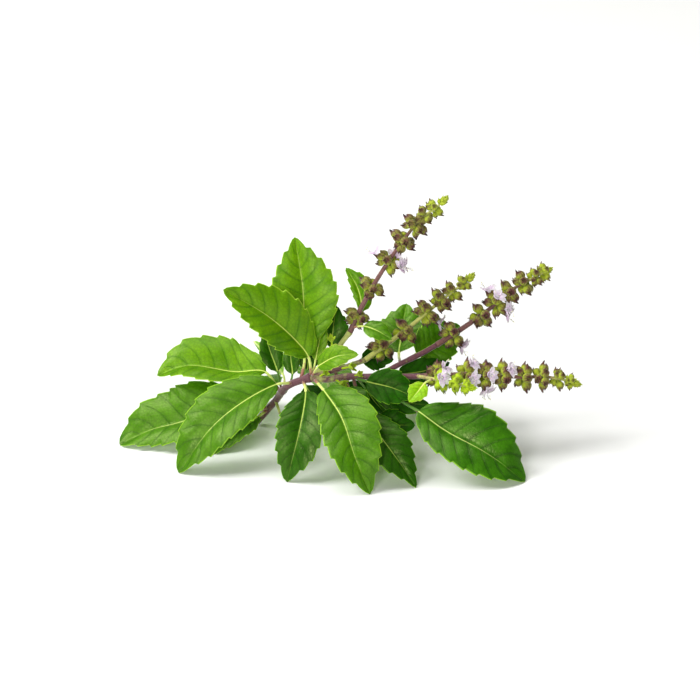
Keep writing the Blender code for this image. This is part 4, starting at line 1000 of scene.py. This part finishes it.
def bud_shape(root, out, lip, length, pedicel, purple):
    """A closed bud: a drop with a long point that bends towards the tip of the spike."""
    side = out.cross(lip).normalized()
    length += pedicel
    points, tones = [], []
    for share, radius in BUD_ROWS:
        centre = root + out * (length * share) + lip * (0.16 * length * share * share)
        points += ring_at(centre, lip, side, length * radius, BUD_SIDES)
        tones += [(1.25 * share * purple, 2.5 * abs(k - 6) / 6) for k in range(BUD_SIDES)]
    return points, ring_faces(len(BUD_ROWS), BUD_SIDES), tones


print("a calyx has", len(calyx_shape(Vector(), Vector((0, 0, 1)), Vector((1, 0, 0)), 4, 1.5, 1)[1]), "faces")

# %% [markdown]
# A bract is the tiny leaf under each cluster of calyces. A petal lobe has the same form: a small cupped blade. One
# function makes both, as a closed skin of two sides, so light and shadow treat it as a real thin sheet.

# %% Small blades: bracts and petal lobes
BLADE_ROWS, BLADE_COLUMNS, BLADE_THICKNESS = 7, 7, 0.12


def small_blade(root, out, up, length, half, curl, cup, tones=(0.0, 1.0)):
    """A little blade that leaves root along out, curls towards up, and is cupped across."""
    rows, columns = BLADE_ROWS, BLADE_COLUMNS
    side = out.cross(up).normalized()
    top, bottom, values = [], [], []
    for i in range(rows):
        t = i / (rows - 1)
        width = half * math.sin(math.pi * (0.12 + 0.86 * t)) ** 0.7 * (1.0 if t < 0.95 else 0.6)
        bend = curl * t
        spine = root + (out * math.cos(bend) + up * math.sin(bend)) * (length * t)
        face_up = (up * math.cos(bend) - out * math.sin(bend)).normalized()
        for k in range(columns):
            u = 2 * k / (columns - 1) - 1
            top.append(spine + side * (width * u) + face_up * (cup * width * u * u))
            bottom.append(top[-1] - face_up * BLADE_THICKNESS)
            values.append((tones[0] + (tones[1] - tones[0]) * t, t))
    shift = rows * columns
    faces = []
    for i in range(rows - 1):
        for k in range(columns - 1):
            a, b = i * columns + k, (i + 1) * columns + k
            faces.append((a, a + 1, b + 1, b))
            faces.append((shift + a + 1, shift + a, shift + b, shift + b + 1))
        a, b = i * columns, (i + 1) * columns
        faces.append((a, b, shift + b, shift + a))
        a, b = a + columns - 1, b + columns - 1
        faces.append((b, a, shift + a, shift + b))
    end = (rows - 1) * columns
    for k in range(columns - 1):
        faces.append((k + 1, k, shift + k, shift + k + 1))
        faces.append((end + k, end + k + 1, shift + end + k + 1, shift + end + k))
    return top + bottom, faces, values + values


def thread(points, radius, sides=5, tone=0.0):
    return tube(points, radius, radius * 0.8, sides=sides, step=0.7, square=0.0, tone=lambda share: tone)


print("a bract has", len(small_blade(Vector(), Vector((0, 0, 1)), Vector((1, 0, 0)), 3, 1, 0.3, 0.2)[1]), "faces")

# %% [markdown]
# A holy basil flower has a short tube, a four-lobed upper lip that stands up, and one longer lower lip, shaped
# like a boat. Four white threads (filaments) with pollen heads reach out over the lower lip.

# %% Flower
UPPER_LOBE_TURNS = (-63, -22, 22, 63)
# The threads: degrees sideways, and how far they reach out in mm.
THREADS = ((-34, 3.4), (-12, 4.1), (12, 4.2), (34, 3.5))


def flower_shapes(rng, root, out, lip, length, pedicel):
    """Shapes for the petals, and shapes for the pollen heads."""
    side = out.cross(lip).normalized()
    neck = root + out * (pedicel + length * 0.5)
    mouth = root + out * (pedicel + length * 0.98)
    petals = [tube([neck, neck.lerp(mouth, 0.5), mouth], 0.55, 0.95, sides=12, step=0.5, square=0.0,
                   tone=lambda share: 0.35)]
    size = rng.uniform(0.92, 1.08)
    for turn in UPPER_LOBE_TURNS:
        angle = math.radians(turn + rng.uniform(-5, 5))
        radial = lip * math.cos(angle) + side * math.sin(angle)
        petals.append(small_blade(mouth + radial * 0.55 - out * 0.2, (out * 0.55 + radial).normalized(),
                                  -radial + out * 1.2, 2.5 * size, 1.05 * size, -0.45, 0.22, tones=(0.75, 0.1)))
    petals.append(small_blade(mouth - lip * 0.5 - out * 0.2, (out * 0.8 - lip * 0.75).normalized(),
                              (lip + out * 0.6).normalized(), 3.2 * size, 1.3 * size, 0.3, 0.45, tones=(0.95, 0.2)))
    heads = []
    for turn, reach in THREADS:
        sideways = side * math.sin(math.radians(turn))
        tip = mouth + out * (reach * 0.85) + sideways * 2.2 + lip * rng.uniform(-0.9, 0.5)
        bend = mouth + out * (reach * 0.45) + sideways * 0.9 - lip * 0.5
        petals.append(thread([mouth - out * 0.6, bend, tip], 0.09))
        heads.append(bud_shape(tip - out * 0.15, (out + sideways).normalized(), lip, 0.55, 0.0, 0.5))
    return petals, heads


petal_test, head_test = flower_shapes(random.Random(1), Vector(), Vector((0, 0, 1)), Vector((1, 0, 0)), 4, 1.5)
print("a flower has", sum(len(shape[1]) for shape in petal_test + head_test), "faces")

# %% [markdown]
# In the corner (axil) between a leaf stalk and the stem sits a young shoot: a few lime leaves of 2 to 4 mm, still
# folded round each other. They are small blades in three rings, on a thin stalk that starts inside the stem.

# %% Young shoots
SHOOTS = [((-6.3, -0.8, 29.6), (-3.6, -4.0, 29.2), 3.6), ((-3.5, 3.4, 31.2), (-0.4, 1.4, 32.8), 3.4),
          ((-6.2, 5.8, 35.4), (-6.6, 3.4, 42.0), 3.0), ((-11.0, 0.2, 29.6), (-9.4, -1.8, 31.6), 2.4),
          ((0.5, -2.2, 30.6), (2.6, -3.6, 32.0), 2.6)]
# The rings of small leaves: how many, how far they lean out, and their share of the full size.
SHOOT_RINGS = ((4, 1.1, 1.0), (3, 0.5, 0.75), (2, 0.15, 0.6))


def shoot_shapes(rng, foot, head, size):
    foot, head = Vector(foot), Vector(head)
    way = (head - foot).normalized()
    side = way.cross(Vector((0.2, -1.0, 0.3))).normalized()
    other = way.cross(side)
    shapes = [thread([foot, foot.lerp(head, 0.5), head], 0.4, sides=8, tone=0.1)]
    for ring, (count, lean, share) in enumerate(SHOOT_RINGS):
        for k in range(count):
            angle = math.tau * k / count + 0.9 * ring + rng.uniform(-0.2, 0.2)
            radial = side * math.cos(angle) + other * math.sin(angle)
            out = (way + radial * lean).normalized()
            length = size * share * rng.uniform(0.85, 1.1)
            shapes.append(small_blade(head - way * 0.2, out, (way - radial * 0.4).normalized(), length,
                                      0.3 * length, 0.35, 0.5, tones=(0.05, 0.55)))
    return shapes


shoot_rng = random.Random(71)
shoot_parts = [shape for foot, head, size in SHOOTS for shape in shoot_shapes(shoot_rng, foot, head, size)]
shoot_points, shoot_faces, shoot_values = gather(shoot_parts)
make_piece("axil_shoots", shoot_points, shoot_faces, [YOUNG_CALYX_SKIN], {"along": shoot_values}, "stem")
print("young shoots:", len(SHOOTS))

# %% [markdown]
# ## Spikes
# Along a spike, calyces stand in whorls: two groups on opposite sides, turned a quarter from one whorl to the
# next. The rule and its seed are the solid model's, so each calyx grows exactly on its solid one.

# %% Places of the calyces
VIEW_SIDE = Vector((0.0, -1.0, 0.0))
# Degrees of the calyces within one group, and of the nodding ones round the axis.
GROUP_STEPS = {6: (-57, 0, 57), 4: (-42, 42)}
NODDING_TURNS = (20, 160, 200, 340)
# The rings of buds at the tip: distance from the end, size, how steep, how many.
TIP_RINGS = ((3.4, 0.66, 0.5, 4), (2.4, 0.56, 0.9, 5), (1.4, 0.46, 1.5, 4), (0.6, 0.34, 2.4, 3))


def whorl_frame(route, distance):
    heading = route.heading(distance)
    front = (VIEW_SIDE - heading * VIEW_SIDE.dot(heading)).normalized()
    return route.at(distance), heading, front.cross(heading), front


def cup_place(heading, out, **details):
    """One place for a calyx or bud; its lip looks along the spike."""
    return dict(details, out=out, lip=(heading - out * heading.dot(out)).normalized())


def whorl_slots(rng, route, number, size, count, flowers, age):
    place, heading, first, front = whorl_frame(route, route.mark(number + 1))
    turn = 90.0 * (number % 2) + rng.uniform(-12, 12)
    found = []
    for half_turn in (0, 180):
        for step in GROUP_STEPS[count]:
            angle = turn + half_turn + step + rng.uniform(-5, 5)
            lean = math.radians((2 if step == 0 else 12) + 22 * age * age + rng.uniform(-5, 5))
            radial = first * math.cos(math.radians(angle)) + front * math.sin(math.radians(angle))
            out = (radial * math.cos(lean) + heading * math.sin(lean)).normalized()
            found.append(cup_place(
                heading, out, root=place + heading * (0.5 if step == 0 else -0.3), angle=angle, size=size,
                outer=step != 0, length=CALYX_LENGTH * size * rng.uniform(0.9, 1.06),
                pedicel=PEDICEL_LENGTH * size, kind="calyx"))
    for whorl, wanted in flowers:
        if whorl == number:
            free = [one for one in found if one["kind"] != "flower"]
            min(free, key=lambda one: 1 - math.cos(math.radians(one["angle"] - wanted)))["kind"] = "flower"
    return found


def nodding_slots(rng, route, number, size, age):
    """Smaller calyces that nod towards the foot of the spike, beside the large ones of each group."""
    place, heading, first, front = whorl_frame(route, route.mark(number + 1))
    found = []
    for turn in NODDING_TURNS:
        angle = math.radians(turn + 90 * (number % 2) + rng.uniform(-14, 14))
        lean = math.radians(-32 + 50 * age * age + rng.uniform(-9, 9))
        radial = first * math.cos(angle) + front * math.sin(angle)
        out = (radial * math.cos(lean) + heading * math.sin(lean)).normalized()
        small = size * rng.uniform(0.68, 0.9)
        found.append(cup_place(heading, out, root=place - heading * 0.9, size=small, outer=True,
                               length=CALYX_LENGTH * small, pedicel=PEDICEL_LENGTH * small, kind="calyx"))
    return found


def tip_slots(route):
    """Four rings of closing buds, ever smaller and steeper towards the tip."""
    found = []
    for ring, (back, size, steep, count) in enumerate(TIP_RINGS):
        place, heading, first, front = whorl_frame(route, route.length - back)
        for k in range(count):
            angle = math.radians(360 / count * k + 40 * ring + 17)
            radial = first * math.cos(angle) + front * math.sin(angle)
            out = (radial + heading * (steep + 0.15 * (k % 3))).normalized()
            found.append(cup_place(heading, out, root=place + radial * 0.15 + heading * (0.2 * (k % 3)), size=size,
                                   outer=k % 2 == 0, length=CALYX_LENGTH * size, pedicel=0.0, kind="bud"))
    return found


print("whorls in all:", sum(len(s["sizes"]) for s in SPIKES.values()))

# %% [markdown]
# Each spike becomes up to three pieces: its axis, its calyces with bracts and buds, and its open flowers. Calyces
# low on the spike are older and more purple; those at the tip are lime green.

# %% Spike builder
AXIS_TONES = {
    "spike_young": lambda share: 0.35,
    "spike_middle": lambda share: 0.3 - 0.2 * share,
}


def common_axis_tone(share):
    return 1.0 - 0.75 * smooth_step(share, 0.5, 1.0)


def build_spike(name, path, sizes, counts, flowers, radius, seed):
    young = name == "spike_young"
    rng = random.Random(seed)
    extra = random.Random(seed + 1000)
    route = Route(path)
    found = []
    for number, (size, count) in enumerate(zip(sizes, counts)):
        age = 1.0 if young else number / len(sizes)
        found += [dict(one, whorl=number) for one in whorl_slots(rng, route, number, size, count, flowers, age)]
        found += [dict(one, whorl=number) for one in nodding_slots(extra, route, number, size, age)]
    found += [dict(one, whorl=len(sizes)) for one in tip_slots(route)]
    cups, petals, heads = [], [], []
    for one in found:
        fade = 1 - 0.75 * smooth_step(one["whorl"] / len(sizes), 0.62, 1.0)
        purple = (0.7 if young else 1.05) * fade * extra.uniform(0.75, 1.15)
        shape = (one["root"], one["out"], one["lip"], one["length"], one["pedicel"])
        if one["kind"] == "bud":
            cups.append(bud_shape(*shape, purple * 0.8))
            continue
        cups.append(calyx_shape(*shape, purple))
        if one["kind"] == "flower":
            more_petals, more_heads = flower_shapes(extra, *shape)
            petals += more_petals
            heads += more_heads
        if not one["outer"]:
            heading = route.heading(route.mark(min(one["whorl"] + 1, len(path) - 1)))
            cups.append(small_blade(
                one["root"] - heading, (one["out"] - heading * 0.7).normalized(),
                (heading + one["out"] * 0.4).normalized(), 3.0 * one["size"], one["size"], 0.5, 0.3,
                tones=(0.1, 0.9 * purple)))
    whorl_swells = [(route.mark(k + 1) / route.length, 0.25, 0.8) for k in range(len(sizes))]
    points, faces, values = tube(path, radius * 1.2, SPIKE_TIP_RADIUS, sides=14, step=0.8, swells=whorl_swells,
                                 tone=AXIS_TONES.get(name, common_axis_tone), stop=0.6)
    make_piece(name + "_axis", points, faces, [SPIKE_STEM_SKIN], {"along": values}, name)
    points, faces, values = gather(cups)
    made = [make_piece(name + "_calyces", points, faces, [YOUNG_CALYX_SKIN if young else CALYX_SKIN],
                       {"along": values}, name)]
    if petals:
        points, faces, values = gather(petals + heads)
        head_faces = sum(len(head[1]) for head in heads)
        slots = [0] * (len(faces) - head_faces) + [1] * head_faces
        made.append(make_piece(name + "_flowers", points, faces, [petal, pollen], {"along": values}, name,
                               slots))
    return made


spike_pieces = [piece for name, spike in SPIKES.items() for piece in build_spike(name, **spike)]
print("spike faces in all:", sum(len(p.data.polygons) for p in spike_pieces))

# %% [markdown]
# ## Triangles shown
# We bring the scene up to date and count the triangles of every mesh that shows.

# %% Count the triangles
bpy.context.view_layer.update()
shown = [o for o in bpy.data.objects if o.type == "MESH" and not o.hide_render]
print("triangles shown:", sum(len(p.vertices) - 2 for o in shown for p in o.data.polygons))
